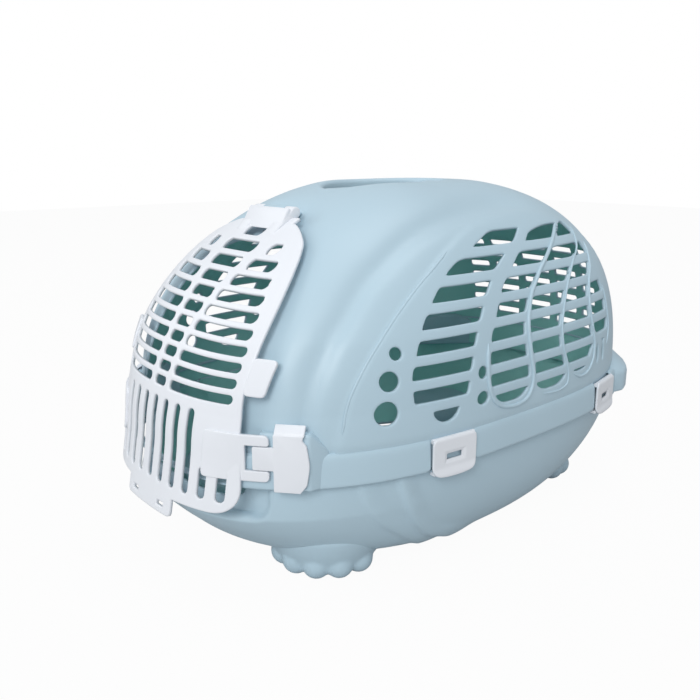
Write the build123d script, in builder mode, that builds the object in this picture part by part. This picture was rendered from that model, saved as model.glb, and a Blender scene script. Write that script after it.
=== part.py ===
from build123d import *
from math import cos, hypot, radians, sin, sqrt
import os

os.makedirs("parts", exist_ok=True)

# Overall sizes, in millimetres. X is across, Y is back from the door, Z is up.
band_half_width = 160.0
band_front = 232.0
band_rear = 265.0
widest_y = -11.0
band_bottom = 94.0
band_height = 26.0
band_flare = 2.0
band_step = 1.0
band_chamfer = 3.0
crown_height = 303.0
crown_flat_height = 300.0

# Walls and clearances.
shell_wall = 3.0
tub_wall = 3.0
spigot_clearance = 0.6
door_wall = 3.0
door_gap = 1.2
running_gap = 0.4
pin_clearance = 0.08

# How square the body's outline is, ahead of and behind the widest station.
front_square = 2.5
upper_front_square = 2.75
rear_square = 3.0
floor_square = 2.3

# The tub.
tub_floor = 12.0
floor_half_width = 117.0
floor_front = 133.0
floor_rear = 154.0
spigot_height = 10.0
flange_thickness = 2.0
flange_inset = 1.5
chin_reach = 8.0
chin_height = 66.0
chin_spread = 26.0
paw_x = 65.0
paw_front_y = -127.0
paw_rear_y = 144.0
paw_foot_radius = 35.0
paw_top_radius = 46.0
paw_height = 40.0
paw_wall = 3.5
toe_radius = 11.0
toe_reach = 38.5
toe_count = 5
toe_step = 26.5
first_toe_angle = 8.0

# The door and its opening.
door_bottom = 74.0
door_top = 270.0
door_half_width = 89.0
door_waist_half_width = 86.0
door_shoulder_half_width = 72.0
door_top_half_width = 46.0
door_lean = 0.12
door_corner = 12.0
opening_margin = 9.0
foot_tab_half_width = 34.0
foot_tab_bottom = 60.0
wing_half_width = 101.0
wing_bottom = 158.0
wing_top = 184.0
hinge_rise = 8.0
hinge_lift = 3.0
knuckle_radius = 4.5
knuckle_inner_x = 15.0
knuckle_width = 9.0
hinge_pin_radius = 2.2
hinge_pin_length = 7.0

# The door's slots.
bar_pitch = 10.6
bar_slot_height = 6.4
bar_rows = 10
first_bar_height = 157.0
centre_slot_half_width = 8.5
centre_slot_growth = 13.5
curved_bar_width = 5.5
slot_edge_margin = 9.0
shortest_bar_slot = 9.0
upright_pitch = 15.5
upright_slot_width = 7.0
upright_top = 146.0
upright_bottom = 84.0
short_upright_top = 96.0
long_uprights_each_side = 3
uprights_each_side = 5

# The door latches.
latch_angle = 41.0
latch_x = 105.8
latch_y = -210.2
latch_plate_width = 26.0
latch_plate_thickness = 3.0
latch_lip = 3.0
latch_lip_thickness = 3.0
tongue_length = 16.5
tongue_height = 18.0
tongue_bottom = 106.0
pad_lead = 8.0
pad_length = 39.0
pad_depth = 20.0
pad_top = 136.0
bracket_bottom = 98.0
bracket_top = 133.0
bracket_start_x = 57.0
bracket_proud = 1.5
bracket_end_gap = 4.0
notch_depth = 17.0
notch_drop = 1.8

# The side clips.
clip_width = 50.0
clip_thickness = 2.8
clip_proud = 0.6
clip_axis_height = 116.6
clip_barrel_radius = 2.1
clip_pin_radius = 1.3
clip_pin_length = 2.6
clip_hook_depth = 5.0
clip_hook_thickness = 2.8
clip_front_y = -77.0
clip_rear_y = 140.0
clip_pocket_depth = 4.4
clip_pad_margin = 6.0
clip_pad_proud = 0.4
clip_notch_depth = 2.6

# The raised corners at the back of the band.
rear_corner_angle = 54.0
rear_corner_proud = 9.0
rear_corner_length = 52.0
rear_corner_face_top = 116.0
rear_corner_top = 133.0

# The grip in the crown.
grip_length = 128.0
grip_half_width = 40.0
grip_bar_half_width = 12.0
grip_bar_thickness = 13.0
grip_rim_wall = 3.0
grip_rim_depth = 12.0
grip_y = -5.0

# The side vents.
vent_bottom = 150.0
vent_pitch = 18.0
vent_height = 9.4
vent_rows = 7
rib_width = 8.0
shortest_vent = 9.0

# The slots in the back, in columns that are each a place and a length.
rear_vent_bottom = 143.0
rear_vent_pitch = 13.5
rear_vent_height = 6.0
rear_vent_rows = 7
rear_vent_columns = [(0.0, 34.0), (40.0, 28.0), (-40.0, 28.0), (73.0, 20.0), (-73.0, 20.0)]
rear_vent_start = 150.0

band_top = band_bottom + band_height
latch_reach_height = pad_top + 9.0
dome_half_width = band_half_width - band_flare - band_step
dome_front = band_front - band_flare - band_step
dome_rear = band_rear - band_flare - band_step


def outline_points(half_width, front, rear, front_power, rear_power, count=16):
    """Points round a body outline, starting on the right at the widest station."""
    points = []
    for step in range(count):
        turn = radians(360 * step / count)
        power = rear_power if sin(turn) >= 0 else front_power
        reach = rear if sin(turn) >= 0 else front
        across = abs(cos(turn)) ** (2 / power) * (1 if cos(turn) >= 0 else -1)
        along = abs(sin(turn)) ** (2 / power) * (1 if sin(turn) >= 0 else -1)
        points.append((half_width * across, widest_y + reach * along))
    return points


def body_section(height, half_width, front, rear, front_power=front_square, rear_power=rear_square):
    """A level slice of the body."""
    with BuildSketch(Plane.XY.offset(height)) as section:
        with BuildLine():
            Spline(*outline_points(half_width, front, rear, front_power, rear_power), periodic=True)
        make_face()
    return section.sketch


def dome_share(height, start_power, end_power):
    rise = (height - band_top) / (crown_height - band_top)
    return (1 - max(rise, 0.0) ** start_power) ** (1 / end_power)


def dome_half_width_at(height):
    return dome_half_width * dome_share(height, 2.4, 2.5)


def dome_front_at(height):
    return dome_front * dome_share(height, 1.7, 1.9)


def dome_rear_at(height):
    return dome_rear * dome_share(height, 2.8, 2.4)


def dome_front_power(height):
    """The dome's front grows squarer from the latches up to the door's shoulders."""
    rise = (height - latch_reach_height) / (door_top - latch_reach_height)
    return front_square + (upper_front_square - front_square) * min(1.0, max(0.0, 2.5 * rise))


def dome_sections(inset, skirt_heights):
    """The dome's level slices up to the flat of the crown, drawn in by inset."""
    slices = []
    for height in skirt_heights:
        reaches = (dome_half_width - inset, dome_front - inset, dome_rear - inset)
        slices.append(body_section(height, *reaches))
    for rise in [0.0, 0.16, 0.32, 0.48, 0.62, 0.74, 0.84, 0.92, 1.0]:
        height = band_top + rise * (crown_flat_height - band_top)
        half_width = dome_half_width_at(height) - inset
        front = dome_front_at(height) - inset
        rear = dome_rear_at(height) - inset
        level = height - inset * rise**3
        slices.append(body_section(level, half_width, front, rear, dome_front_power(height)))
    return slices


def door_reach_at(height):
    """Front reach of the surface that the door's inner face lies on."""
    if height >= band_top:
        return dome_front_at(height) + door_gap
    return dome_front + door_gap + band_step + band_flare + door_lean * (band_top - height)


def door_body_sections(grow):
    """Slices of a body whose front is the door's inner face, grown outward."""
    slices = []
    for height in [30, 62, 94, 120, 145, 170, 195, 220, 240, 256, 270, 282]:
        half_width = dome_half_width_at(height) + band_step + band_flare + door_gap + grow
        # A leaning wall is thicker along Y than across itself.
        slope = (door_reach_at(height - 2) - door_reach_at(height + 2)) / 4
        reach = door_reach_at(height) + grow * sqrt(1 + slope**2)
        rear = dome_rear_at(height)
        slices.append(body_section(height, half_width, reach, rear, dome_front_power(height)))
    return slices


def latch_plane(side):
    """The outer face of a door latch, with X along the way it slides and Y up."""
    outward = (side * sin(radians(latch_angle)), -cos(radians(latch_angle)), 0)
    along = (cos(radians(latch_angle)), side * sin(radians(latch_angle)), 0)
    return Plane(origin=(side * latch_x, latch_y, 0), x_dir=along, z_dir=outward)


def clip_plane(side, station_y):
    """The plane that touches the band where a clip sits, with its Y axis up."""
    reach = band_rear if station_y > widest_y else band_front
    power = rear_square if station_y > widest_y else front_square
    share = abs(station_y - widest_y) / reach
    remaining = (1 - share**power) ** (1 / power)
    fall = band_half_width / reach * (share / remaining) ** (power - 1)
    if station_y < widest_y:
        fall = -fall
    length = hypot(fall, 1)
    outward = (side / length, fall / length, 0)
    along = (-outward[1], outward[0], 0)
    return Plane(
        origin=(side * band_half_width * remaining, station_y, 0), x_dir=along, z_dir=outward
    )


clip_planes = {
    "clip_front_right": clip_plane(1, clip_front_y),
    "clip_front_left": clip_plane(-1, clip_front_y),
    "clip_rear_right": clip_plane(1, clip_rear_y),
    "clip_rear_left": clip_plane(-1, clip_rear_y),
}


def rear_corner_plane(side):
    """The upright plane across a rear corner of the band, with X outward and Y up."""
    across = sin(radians(rear_corner_angle))
    back = cos(radians(rear_corner_angle))
    power = rear_square / (rear_square - 1)
    support = ((band_half_width * across) ** power + (band_rear * back) ** power) ** (1 / power)
    x = band_half_width * (band_half_width * across / support) ** (power - 1)
    y = widest_y + band_rear * (band_rear * back / support) ** (power - 1)
    return Plane(origin=(side * x, y, 0), x_dir=(side * across, back, 0), z_dir=(side * back, -across, 0))


# The door's hinge line, just proud of the dome above the door.
hinge_z = door_top + hinge_rise
hinge_y = widest_y - dome_front_at(hinge_z - 4) - hinge_lift
hinge_plane = Plane(origin=(0, hinge_y, hinge_z), x_dir=(0, 1, 0), z_dir=(1, 0, 0))


def door_edge(margin):
    """Right half of the door's edge seen from the front, drawn in by margin."""
    half = door_half_width - margin
    low = door_bottom + margin
    high = door_top - margin
    tall = high - low
    return [
        (half, low),
        (half, low + 0.2 * tall),
        (door_waist_half_width - margin, low + 0.48 * tall),
        (half - 3, low + 0.68 * tall),
        (door_shoulder_half_width - margin, low + 0.88 * tall),
        (door_top_half_width - margin, high),
    ]


def door_face(margin):
    """The door's outline as a face that looks forward from the widest station."""
    points = door_edge(margin)
    with BuildSketch(Plane.XZ) as sketch:
        with BuildLine():
            Spline(*points)
            Line(points[-1], (0, points[-1][1]))
            Line((0, points[-1][1]), (0, points[0][1]))
            Line((0, points[0][1]), points[0])
        make_face()
        mirror(about=Plane.YZ)
        corners = sketch.vertices().group_by(Axis.Y)[0].sort_by(Axis.X)
        fillet([corners[0], corners[-1]], door_corner)
    return sketch.sketch


# The lower tub, a moulded bowl whose rim carries the upper shell.
rim_half_width = dome_half_width - shell_wall - spigot_clearance
rim_front = dome_front - shell_wall - spigot_clearance
rim_rear = dome_rear - shell_wall - spigot_clearance
pad_face_depth = latch_plate_thickness + running_gap


def tub_sections(inset, floor_height, spigot_top):
    """The tub's level slices from the spigot down to the floor, drawn in by inset."""
    slices = []
    for height in (spigot_top, (spigot_top + band_bottom) / 2):
        reaches = (rim_half_width - inset, rim_front - inset, rim_rear - inset)
        slices.append(body_section(height, *reaches))
    for drop in [0.0, 0.2, 0.4, 0.6, 0.78, 0.9, 0.97, 1.0]:
        share = (1 - drop**2.25) ** (1 / 2.05)
        rear_share = (1 - drop**1.92) ** (1 / 2.05)
        height = band_bottom - drop * (band_bottom - floor_height)
        chin = chin_reach * max(0.0, 1 - abs(height - chin_height) / chin_spread)
        half_width = floor_half_width + (rim_half_width - floor_half_width) * share - inset
        front = floor_front + (rim_front - floor_front) * share + chin - inset
        rear = floor_rear + (rim_rear - floor_rear) * rear_share - inset
        front_power = front_square + (floor_square - front_square) * drop
        rear_power = rear_square + (floor_square - rear_square) * drop
        slices.append(body_section(height, half_width, front, rear, front_power, rear_power))
    return slices


with BuildPart() as lower_tub:
    # The bowl, and above it the spigot that centres the upper shell.
    loft(tub_sections(0, tub_floor, band_bottom + spigot_height))
    # The flange that the clips and the latches hook under.
    extrude(
        body_section(
            band_bottom - flange_thickness,
            band_half_width - flange_inset,
            band_front - flange_inset,
            band_rear - flange_inset,
        ),
        amount=flange_thickness,
    )
    # Flat lands of the flange under the latches.
    for side in (1, -1):
        with BuildSketch(latch_plane(side).offset(-pad_face_depth)):
            with Locations((side * (pad_length / 2 - pad_lead), band_bottom - flange_thickness / 2)):
                Rectangle(pad_length, flange_thickness)
        extrude(amount=-pad_depth)
    # Four hollow paws, each with a row of rounded toes on its outer corner.
    paws = []
    for side in (1, -1):
        for paw_y, facing in ((paw_front_y, -1), (paw_rear_y, 1)):
            paws.append((side * paw_x, paw_y))
            with Locations((side * paw_x, paw_y, paw_height / 2)):
                Cone(paw_foot_radius, paw_top_radius, paw_height)
            for toe in range(toe_count):
                turn = radians(first_toe_angle + toe * toe_step)
                x = side * (paw_x + toe_reach * cos(turn))
                y = paw_y + facing * toe_reach * sin(turn)
                with Locations((x, y, toe_radius)):
                    Sphere(toe_radius)
    # The bowl's inside.
    inside = tub_sections(tub_wall, tub_floor + tub_wall, band_bottom + spigot_height + 1)
    loft(inside, mode=Mode.SUBTRACT)
    for paw in paws:
        with Locations((paw[0], paw[1], paw_height / 2 + paw_wall)):
            Cone(
                paw_foot_radius - paw_wall,
                paw_top_radius - paw_wall,
                paw_height,
                mode=Mode.SUBTRACT,
            )
    # The way in, and the notches in the flange for the clips.
    extrude(door_face(opening_margin), amount=band_front + 60, mode=Mode.SUBTRACT)
    for plane in clip_planes.values():
        with BuildSketch(plane.offset(-clip_notch_depth)):
            with Locations((0, band_bottom)):
                Rectangle(clip_width + 2 * running_gap, 4 * flange_thickness)
        extrude(amount=10, mode=Mode.SUBTRACT)
lower_tub.part.label = "lower_tub"
export_step(lower_tub.part, "parts/lower_tub.step")


def rib_line(height, base, rise, start, span, power):
    """Y of one of the curved ribs between the side vents at a height."""
    return base + rise * max(0.0, (height - start) / span) ** power


def vent_ribs(height):
    """The side vents' left edge, three ribs and right edge at a height."""
    return [
        rib_line(height, -108, 103, 150, 108, 2.5),
        rib_line(height, -59, 96, 150, 108, 2.4),
        rib_line(height, 7, 95, 160, 97, 2.4),
        rib_line(height, 43, 90, 165, 82, 2.0),
        rib_line(height, 78, 65, 170, 66, 1.9),
        rib_line(height, 168, -52, 170, 50, 1.5),
    ]


# The upper shell, a moulded dome with the vents, the grip and the skirt band.
with BuildPart() as upper_shell:
    # The dome starts inside the band, so that the two share no face.
    loft(dome_sections(0, [band_bottom + band_height / 2]))
    # The skirt band, chamfered on top down into the dome.
    band_sections = [body_section(band_bottom, band_half_width, band_front, band_rear)]
    for height, step in ((band_top - band_chamfer, band_step), (band_top, -2 * band_step)):
        reaches = (dome_half_width + step, dome_front + step, dome_rear + step)
        band_sections.append(body_section(height, *reaches))
    loft(band_sections, ruled=True)
    # Raised corners that the latches wrap round.
    for side in (1, -1):
        with BuildSketch(latch_plane(side).offset(-pad_face_depth)):
            with Locations((side * (pad_length / 2 - pad_lead), (band_bottom + pad_top) / 2)):
                Rectangle(pad_length, pad_top - band_bottom)
        extrude(amount=-pad_depth)
    # Flat lands round the clips.
    for plane in clip_planes.values():
        with BuildSketch(plane.offset(clip_pad_proud)):
            with Locations((0, (band_bottom + band_top - band_chamfer) / 2)):
                Rectangle(clip_width + 2 * clip_pad_margin, band_height - band_chamfer)
        extrude(amount=-clip_pocket_depth - clip_pad_proud - 1)
    # Raised corners at the back, sloped on top.
    for side in (1, -1):
        plane = rear_corner_plane(side)
        up = plane.y_dir.Z
        with BuildSketch(plane):
            with BuildLine():
                Polyline(
                    (rear_corner_proud, up * band_bottom),
                    (rear_corner_proud, up * rear_corner_face_top),
                    (-band_flare, up * rear_corner_top),
                    (-pad_depth, up * rear_corner_top),
                    (-pad_depth, up * band_bottom),
                    close=True,
                )
            make_face()
        extrude(amount=rear_corner_length / 2, both=True)
    # The shell's inside, open at the bottom.
    inside = dome_sections(shell_wall, [band_bottom - 1, band_bottom + band_height / 2])
    loft(inside, mode=Mode.SUBTRACT)
    # The clips' pockets and the sockets for their pins.
    for plane in clip_planes.values():
        with BuildSketch(plane.offset(-clip_pocket_depth)):
            with Locations((0, (band_bottom + band_top) / 2)):
                Rectangle(clip_width + 2 * running_gap, 2 * band_height)
        extrude(amount=10, mode=Mode.SUBTRACT)
        socket = Plane(
            origin=plane.from_local_coords((0, clip_axis_height, -clip_barrel_radius)),
            x_dir=plane.y_dir,
            z_dir=plane.x_dir,
        )
        with BuildSketch(socket):
            Circle(clip_pin_radius + pin_clearance)
        extrude(amount=clip_width / 2 + clip_pin_length + running_gap, both=True, mode=Mode.SUBTRACT)
    # The grip: an oval opening with a rim, and a bar along it for the hand.
    with BuildSketch(Plane.XY.offset(crown_flat_height - grip_rim_depth)):
        with Locations((0, grip_y)):
            Ellipse(grip_half_width + grip_rim_wall, grip_length / 2 + grip_rim_wall)
    extrude(amount=grip_rim_depth - shell_wall / 2)
    with BuildSketch(Plane.XY.offset(crown_flat_height - 30)):
        with Locations((0, grip_y)):
            Ellipse(grip_half_width, grip_length / 2)
    extrude(amount=40, mode=Mode.SUBTRACT)
    with BuildSketch(Plane.XY.offset(crown_flat_height - grip_bar_thickness)):
        with Locations((0, grip_y)):
            Rectangle(2 * grip_bar_half_width, grip_length + grip_rim_wall)
    extrude(amount=grip_bar_thickness)
    # The way in, cut through the front only.
    extrude(door_face(opening_margin), amount=band_front + 60, mode=Mode.SUBTRACT)
    # The hinge lug between the door's knuckles, its pin holes and the knuckles' clearance.
    with BuildSketch(hinge_plane.offset(-knuckle_inner_x - knuckle_width - running_gap)):
        Circle(knuckle_radius + running_gap)
    extrude(amount=2 * (knuckle_inner_x + knuckle_width + running_gap), mode=Mode.SUBTRACT)
    with BuildSketch(hinge_plane.offset(-knuckle_inner_x + running_gap)):
        Circle(knuckle_radius)
        with Locations((4, -1)):
            Rectangle(8, 7)
    extrude(amount=2 * (knuckle_inner_x - running_gap))
    with BuildSketch(hinge_plane.offset(-knuckle_inner_x)):
        Circle(hinge_pin_radius + pin_clearance)
    extrude(amount=hinge_pin_length + running_gap, mode=Mode.SUBTRACT)
    with BuildSketch(hinge_plane.offset(knuckle_inner_x)):
        Circle(hinge_pin_radius + pin_clearance)
    extrude(amount=-hinge_pin_length - running_gap, mode=Mode.SUBTRACT)
    # The vents, the same on both sides.
    with BuildSketch(Plane.YZ):
        for row in range(vent_rows):
            middle = vent_bottom + row * vent_pitch
            low = vent_ribs(middle - vent_height / 2)
            high = vent_ribs(middle + vent_height / 2)
            for column in range(len(low) - 1):
                left = rib_width if column else 0.0
                corners = [
                    (low[column] + left, middle - vent_height / 2),
                    (low[column + 1], middle - vent_height / 2),
                    (high[column + 1], middle + vent_height / 2),
                    (high[column] + left, middle + vent_height / 2),
                ]
                if min(corners[1][0] - corners[0][0], corners[2][0] - corners[3][0]) > shortest_vent:
                    with BuildLine():
                        Polyline(*corners, close=True)
                    make_face()
        for y, z, radius in ((-119, 183, 4.5), (-127, 164, 7.0), (-131, 140, 8.5)):
            with Locations((y, z)):
                Circle(radius)
    extrude(amount=dome_half_width + 10, both=True, mode=Mode.SUBTRACT)
    # The slots in the back.
    with BuildSketch(Plane.XZ.offset(-rear_vent_start)):
        for row in range(rear_vent_rows):
            for x, length in rear_vent_columns:
                with Locations((x, rear_vent_bottom + row * rear_vent_pitch)):
                    Rectangle(length, rear_vent_height)
    extrude(amount=-band_rear, mode=Mode.SUBTRACT)
upper_shell.part.label = "upper_shell"
export_step(upper_shell.part, "parts/upper_shell.step")


# The front door, one curved moulding that hangs on two knuckles.
with BuildPart() as front_door:
    loft(door_body_sections(door_wall))
    loft(door_body_sections(0), mode=Mode.SUBTRACT)
    # Only the part within the door's outline is kept.
    with BuildSketch(Plane.XZ) as outline:
        add(door_face(0))
        with Locations((0, (foot_tab_bottom + door_bottom) / 2 + 2)):
            Rectangle(2 * foot_tab_half_width, door_bottom - foot_tab_bottom + 4)
        with Locations((0, (wing_bottom + wing_top) / 2)):
            Rectangle(2 * wing_half_width, wing_top - wing_bottom)
    extrude(amount=band_front + 60, mode=Mode.INTERSECT)
    # The arms that reach up to the hinge line, and their knuckles.
    slope = (dome_front_at(door_top - 12) - dome_front_at(door_top - 6)) / 6
    face_y = widest_y - door_reach_at(door_top - 6) - hinge_y
    face_z = door_top - 6 - hinge_z
    thick = door_wall * sqrt(1 + slope**2)
    for side in (1, -1):
        start = knuckle_inner_x if side > 0 else -knuckle_inner_x - knuckle_width
        with BuildSketch(hinge_plane.offset(start)):
            Circle(knuckle_radius)
            with BuildLine():
                Polyline(
                    (knuckle_radius * 0.7, -knuckle_radius * 0.7),
                    (-knuckle_radius * 0.7, knuckle_radius * 0.7),
                    (face_y - thick, face_z),
                    (face_y - thick / 3, face_z),
                    close=True,
                )
            make_face()
        extrude(amount=knuckle_width)
        with BuildSketch(hinge_plane.offset(side * (knuckle_inner_x - hinge_pin_length))):
            Circle(hinge_pin_radius)
        extrude(amount=side * (hinge_pin_length + 1))
    # The brackets that the latch tongues slide into.
    for side in (1, -1):
        plane = latch_plane(side)
        tail = plane.from_local_coords((-side * bracket_end_gap, 0, 0))
        reach = door_reach_at(bracket_bottom) + door_wall + bracket_proud
        wide = dome_half_width + band_step + band_flare + door_gap + door_wall + bracket_proud
        share = bracket_start_x / wide
        start = Vector(
            side * bracket_start_x,
            widest_y - reach * (1 - share**front_square) ** (1 / front_square),
            0,
        )
        inward = plane.z_dir * -latch_plate_thickness
        with BuildSketch(Plane.XY.offset(bracket_bottom)):
            with BuildLine():
                outer = TangentArc(tail, start, tangent=plane.x_dir * -side)
                inner = TangentArc(
                    tail + inward,
                    start + Vector(0, latch_plate_thickness, 0),
                    tangent=plane.x_dir * -side,
                )
                Line(tail, tail + inward)
                Line(start, start + Vector(0, latch_plate_thickness, 0))
            make_face()
        extrude(amount=bracket_top - bracket_bottom)
        with BuildSketch(plane.offset(1)):
            with Locations((-side * (bracket_end_gap + notch_depth / 2 - 1),
                            tongue_bottom + (tongue_height + running_gap - notch_drop) / 2)):
                Rectangle(notch_depth + 2, tongue_height + running_gap + notch_drop)
        extrude(amount=-latch_plate_thickness - 3, mode=Mode.SUBTRACT)
    # The level slots, three to a row between the two curved bars.
    with BuildSketch(Plane.XZ):
        edge = door_edge(slot_edge_margin)
        for row in range(bar_rows):
            middle = first_bar_height + row * bar_pitch
            rise = row / (bar_rows - 1)
            centre_half = centre_slot_half_width + centre_slot_growth * rise**2.2
            if middle < edge[3][1]:
                end = door_half_width - 4 - slot_edge_margin
            else:
                down = (edge[5][1] - middle) / (edge[5][1] - edge[3][1])
                end = edge[5][0] + (edge[3][0] - edge[5][0]) * sqrt(max(down, 0.0))
            with Locations((0, middle)):
                SlotOverall(2 * centre_half, bar_slot_height)
            side_start = centre_half + curved_bar_width
            if end - side_start > shortest_bar_slot:
                with Locations(((side_start + end) / 2, middle), (-(side_start + end) / 2, middle)):
                    SlotOverall(end - side_start, bar_slot_height)
        # The upright slots below them, short ones under the latch brackets.
        for column in range(-uprights_each_side, uprights_each_side + 1):
            top = upright_top if abs(column) <= long_uprights_each_side else short_upright_top
            with Locations((column * upright_pitch, (top + upright_bottom) / 2)):
                SlotOverall(top - upright_bottom, upright_slot_width, rotation=90)
    extrude(amount=band_front + 60, mode=Mode.SUBTRACT)
front_door.part.label = "front_door"
export_step(front_door.part, "parts/front_door.step")


# The door latches, plates that wrap the raised corners and slide along them.
flange_bottom = band_bottom - flange_thickness
plate_top = pad_top + running_gap + latch_lip_thickness
plate_bottom = flange_bottom - running_gap - latch_lip_thickness
for side, name in ((1, "latch_right"), (-1, "latch_left")):
    with BuildPart() as latch:
        with BuildSketch(latch_plane(side)) as plate:
            with Locations((side * latch_plate_width / 2, (plate_top + plate_bottom) / 2)):
                Rectangle(latch_plate_width, plate_top - plate_bottom)
            outer_corners = plate.vertices().group_by(Axis.X)[-1 if side > 0 else 0]
            fillet(outer_corners, 6)
            with Locations((-side * (tongue_length / 2 - 1), tongue_bottom + tongue_height / 2)):
                Rectangle(tongue_length + 2, tongue_height)
        extrude(amount=-latch_plate_thickness)
        for low in (plate_bottom, plate_top - latch_lip_thickness):
            with BuildSketch(latch_plane(side).offset(-latch_plate_thickness)):
                with Locations((side * (latch_plate_width / 2 - 2), low + latch_lip_thickness / 2)):
                    Rectangle(latch_plate_width - 4, latch_lip_thickness)
            extrude(amount=-latch_lip)
    latch.part.label = name
    export_step(latch.part, f"parts/{name}.step")


# The side clips, hinged in the band on moulded pins and hooked under the flange.
for name, plane in clip_planes.items():
    with BuildPart() as clip:
        profile = Plane(
            origin=plane.from_local_coords((-clip_width / 2, 0, 0)),
            x_dir=plane.z_dir,
            z_dir=plane.x_dir,
        )
        up = profile.to_local_coords(plane.from_local_coords((-clip_width / 2, 1, 0))).Y
        hook_top = flange_bottom - running_gap
        hook_low = hook_top - clip_hook_thickness
        inner = clip_proud - clip_thickness
        with BuildSketch(profile):
            with Locations((-clip_barrel_radius, up * clip_axis_height)):
                Circle(clip_barrel_radius)
            with BuildLine():
                Polyline(
                    (clip_proud, up * clip_axis_height),
                    (clip_proud, up * (hook_low + 2)),
                    (clip_proud + 2.5, up * (hook_low - 1)),
                    (clip_proud + 0.5, up * (hook_low - 2.5)),
                    (inner, up * hook_low),
                    (-clip_hook_depth, up * hook_low),
                    (-clip_hook_depth, up * hook_top),
                    (inner, up * hook_top),
                    (inner, up * (clip_axis_height - 3)),
                    (-2 * clip_barrel_radius, up * clip_axis_height),
                    close=True,
                )
            make_face()
        extrude(amount=clip_width)
        pin_plane = Plane(
            origin=plane.from_local_coords((0, clip_axis_height, -clip_barrel_radius)),
            x_dir=plane.y_dir,
            z_dir=plane.x_dir,
        )
        with BuildSketch(pin_plane):
            Circle(clip_pin_radius)
        extrude(amount=clip_width / 2 + clip_pin_length, both=True)
    clip.part.label = name
    export_step(clip.part, f"parts/{name}.step")
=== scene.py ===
import math

import bpy
import numpy as np
from mathutils import Matrix, Vector


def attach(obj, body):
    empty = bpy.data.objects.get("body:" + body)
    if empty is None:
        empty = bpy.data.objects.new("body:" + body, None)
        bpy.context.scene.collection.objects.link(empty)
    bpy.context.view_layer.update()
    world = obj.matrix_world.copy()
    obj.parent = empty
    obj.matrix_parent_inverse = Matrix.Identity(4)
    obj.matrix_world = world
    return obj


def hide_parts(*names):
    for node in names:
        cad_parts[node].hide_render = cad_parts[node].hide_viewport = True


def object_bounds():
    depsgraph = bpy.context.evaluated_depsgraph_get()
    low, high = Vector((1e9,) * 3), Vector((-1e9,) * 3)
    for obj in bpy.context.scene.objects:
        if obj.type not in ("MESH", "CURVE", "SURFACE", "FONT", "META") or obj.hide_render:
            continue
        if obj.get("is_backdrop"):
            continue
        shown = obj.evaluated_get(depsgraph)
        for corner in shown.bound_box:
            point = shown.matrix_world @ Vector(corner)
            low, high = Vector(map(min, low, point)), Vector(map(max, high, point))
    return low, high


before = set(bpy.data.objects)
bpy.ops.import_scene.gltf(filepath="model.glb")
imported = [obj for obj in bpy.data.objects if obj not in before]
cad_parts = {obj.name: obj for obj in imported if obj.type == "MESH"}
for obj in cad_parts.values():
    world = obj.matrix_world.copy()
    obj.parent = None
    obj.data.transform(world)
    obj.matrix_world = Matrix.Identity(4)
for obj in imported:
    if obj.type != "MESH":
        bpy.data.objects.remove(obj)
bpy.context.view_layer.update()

# The upper shell: one blue polypropylene moulding, a dome with the side vents and the moulded grip.
# It drops over the tub's spigot and is held down by four clips.
# Sizes are metres. X is across, Y runs from the door to the back, Z is up.
WIDEST_Y = -0.011
BAND_HALF_WIDTH, BAND_FRONT, BAND_REAR = 0.160, 0.232, 0.265
BAND_BOTTOM, BAND_TOP = 0.094, 0.120
DOME_HALF_WIDTH, DOME_FRONT, DOME_REAR = 0.157, 0.229, 0.250
CROWN, CROWN_FLAT, CROWN_BLEND = 0.303, 0.2999, 0.003
# How square the outline is. In front it gets squarer above UPPER_FOOT, over UPPER_RISE.
FRONT_POWER, UPPER_FRONT_POWER, REAR_POWER = 2.5, 2.75, 3.0
UPPER_FOOT, UPPER_RISE = 0.145, 0.05
# How the dome's half width, front reach and rear reach shrink towards the crown.
WIDTH_CURVE, FRONT_CURVE, REAR_CURVE = (2.4, 2.5), (1.7, 1.9), (2.8, 2.8)
WALL = 0.003
# A cut's level where nothing is cut away, and the Y behind which nothing is cut for the way in.
UNCUT, WAY_IN_Y = -0.05, -0.08
WAY_IN_HALF_WIDTH = 0.0795


def smoothstep(low, high, value):
    """Rises smoothly from 0 to 1 as value goes from low to high, which may be the lower of the two."""
    t = np.clip((value - low) / (high - low), 0, 1)
    return t * t * (3 - 2 * t)


def soft_min(a, b, blend):
    """The lower of two fields, rounded over where they meet."""
    h = np.clip(0.5 + 0.5 * (b - a) / blend, 0, 1)
    return b + (a - b) * h - blend * h * (1 - h)


def outline(turn, half_width, front, rear, front_power, rear_power):
    """Where a body's outline stands at an angle round it, from the right side."""
    c, s = np.cos(turn), np.sin(turn)
    power = np.where(s >= 0, rear_power, front_power)
    reach = np.where(s >= 0, rear, front)
    x = half_width * np.sign(c) * np.abs(c) ** (2 / power)
    y = WIDEST_Y + reach * np.sign(s) * np.abs(s) ** (2 / power)
    return x, y


def ring(turn, height, reaches, inset=0):
    """Points round the outline that reaches give, at a height, set inward by inset.

    Reaches are the half width, the front and rear reach, and the front and rear power.
    """
    half_width, front, rear, front_power, rear_power = reaches
    x, y = outline(turn, half_width - inset, front - inset, rear - inset, front_power, rear_power)
    return np.stack([x, y, np.full_like(x, height)], axis=1)


def dome_share(z, start_power, end_power):
    """How much of its size at the band the dome keeps at a height."""
    rise = np.clip((z - BAND_TOP) / (CROWN - BAND_TOP), 0, 0.9999)
    return (1 - rise**start_power) ** (1 / end_power)


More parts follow.
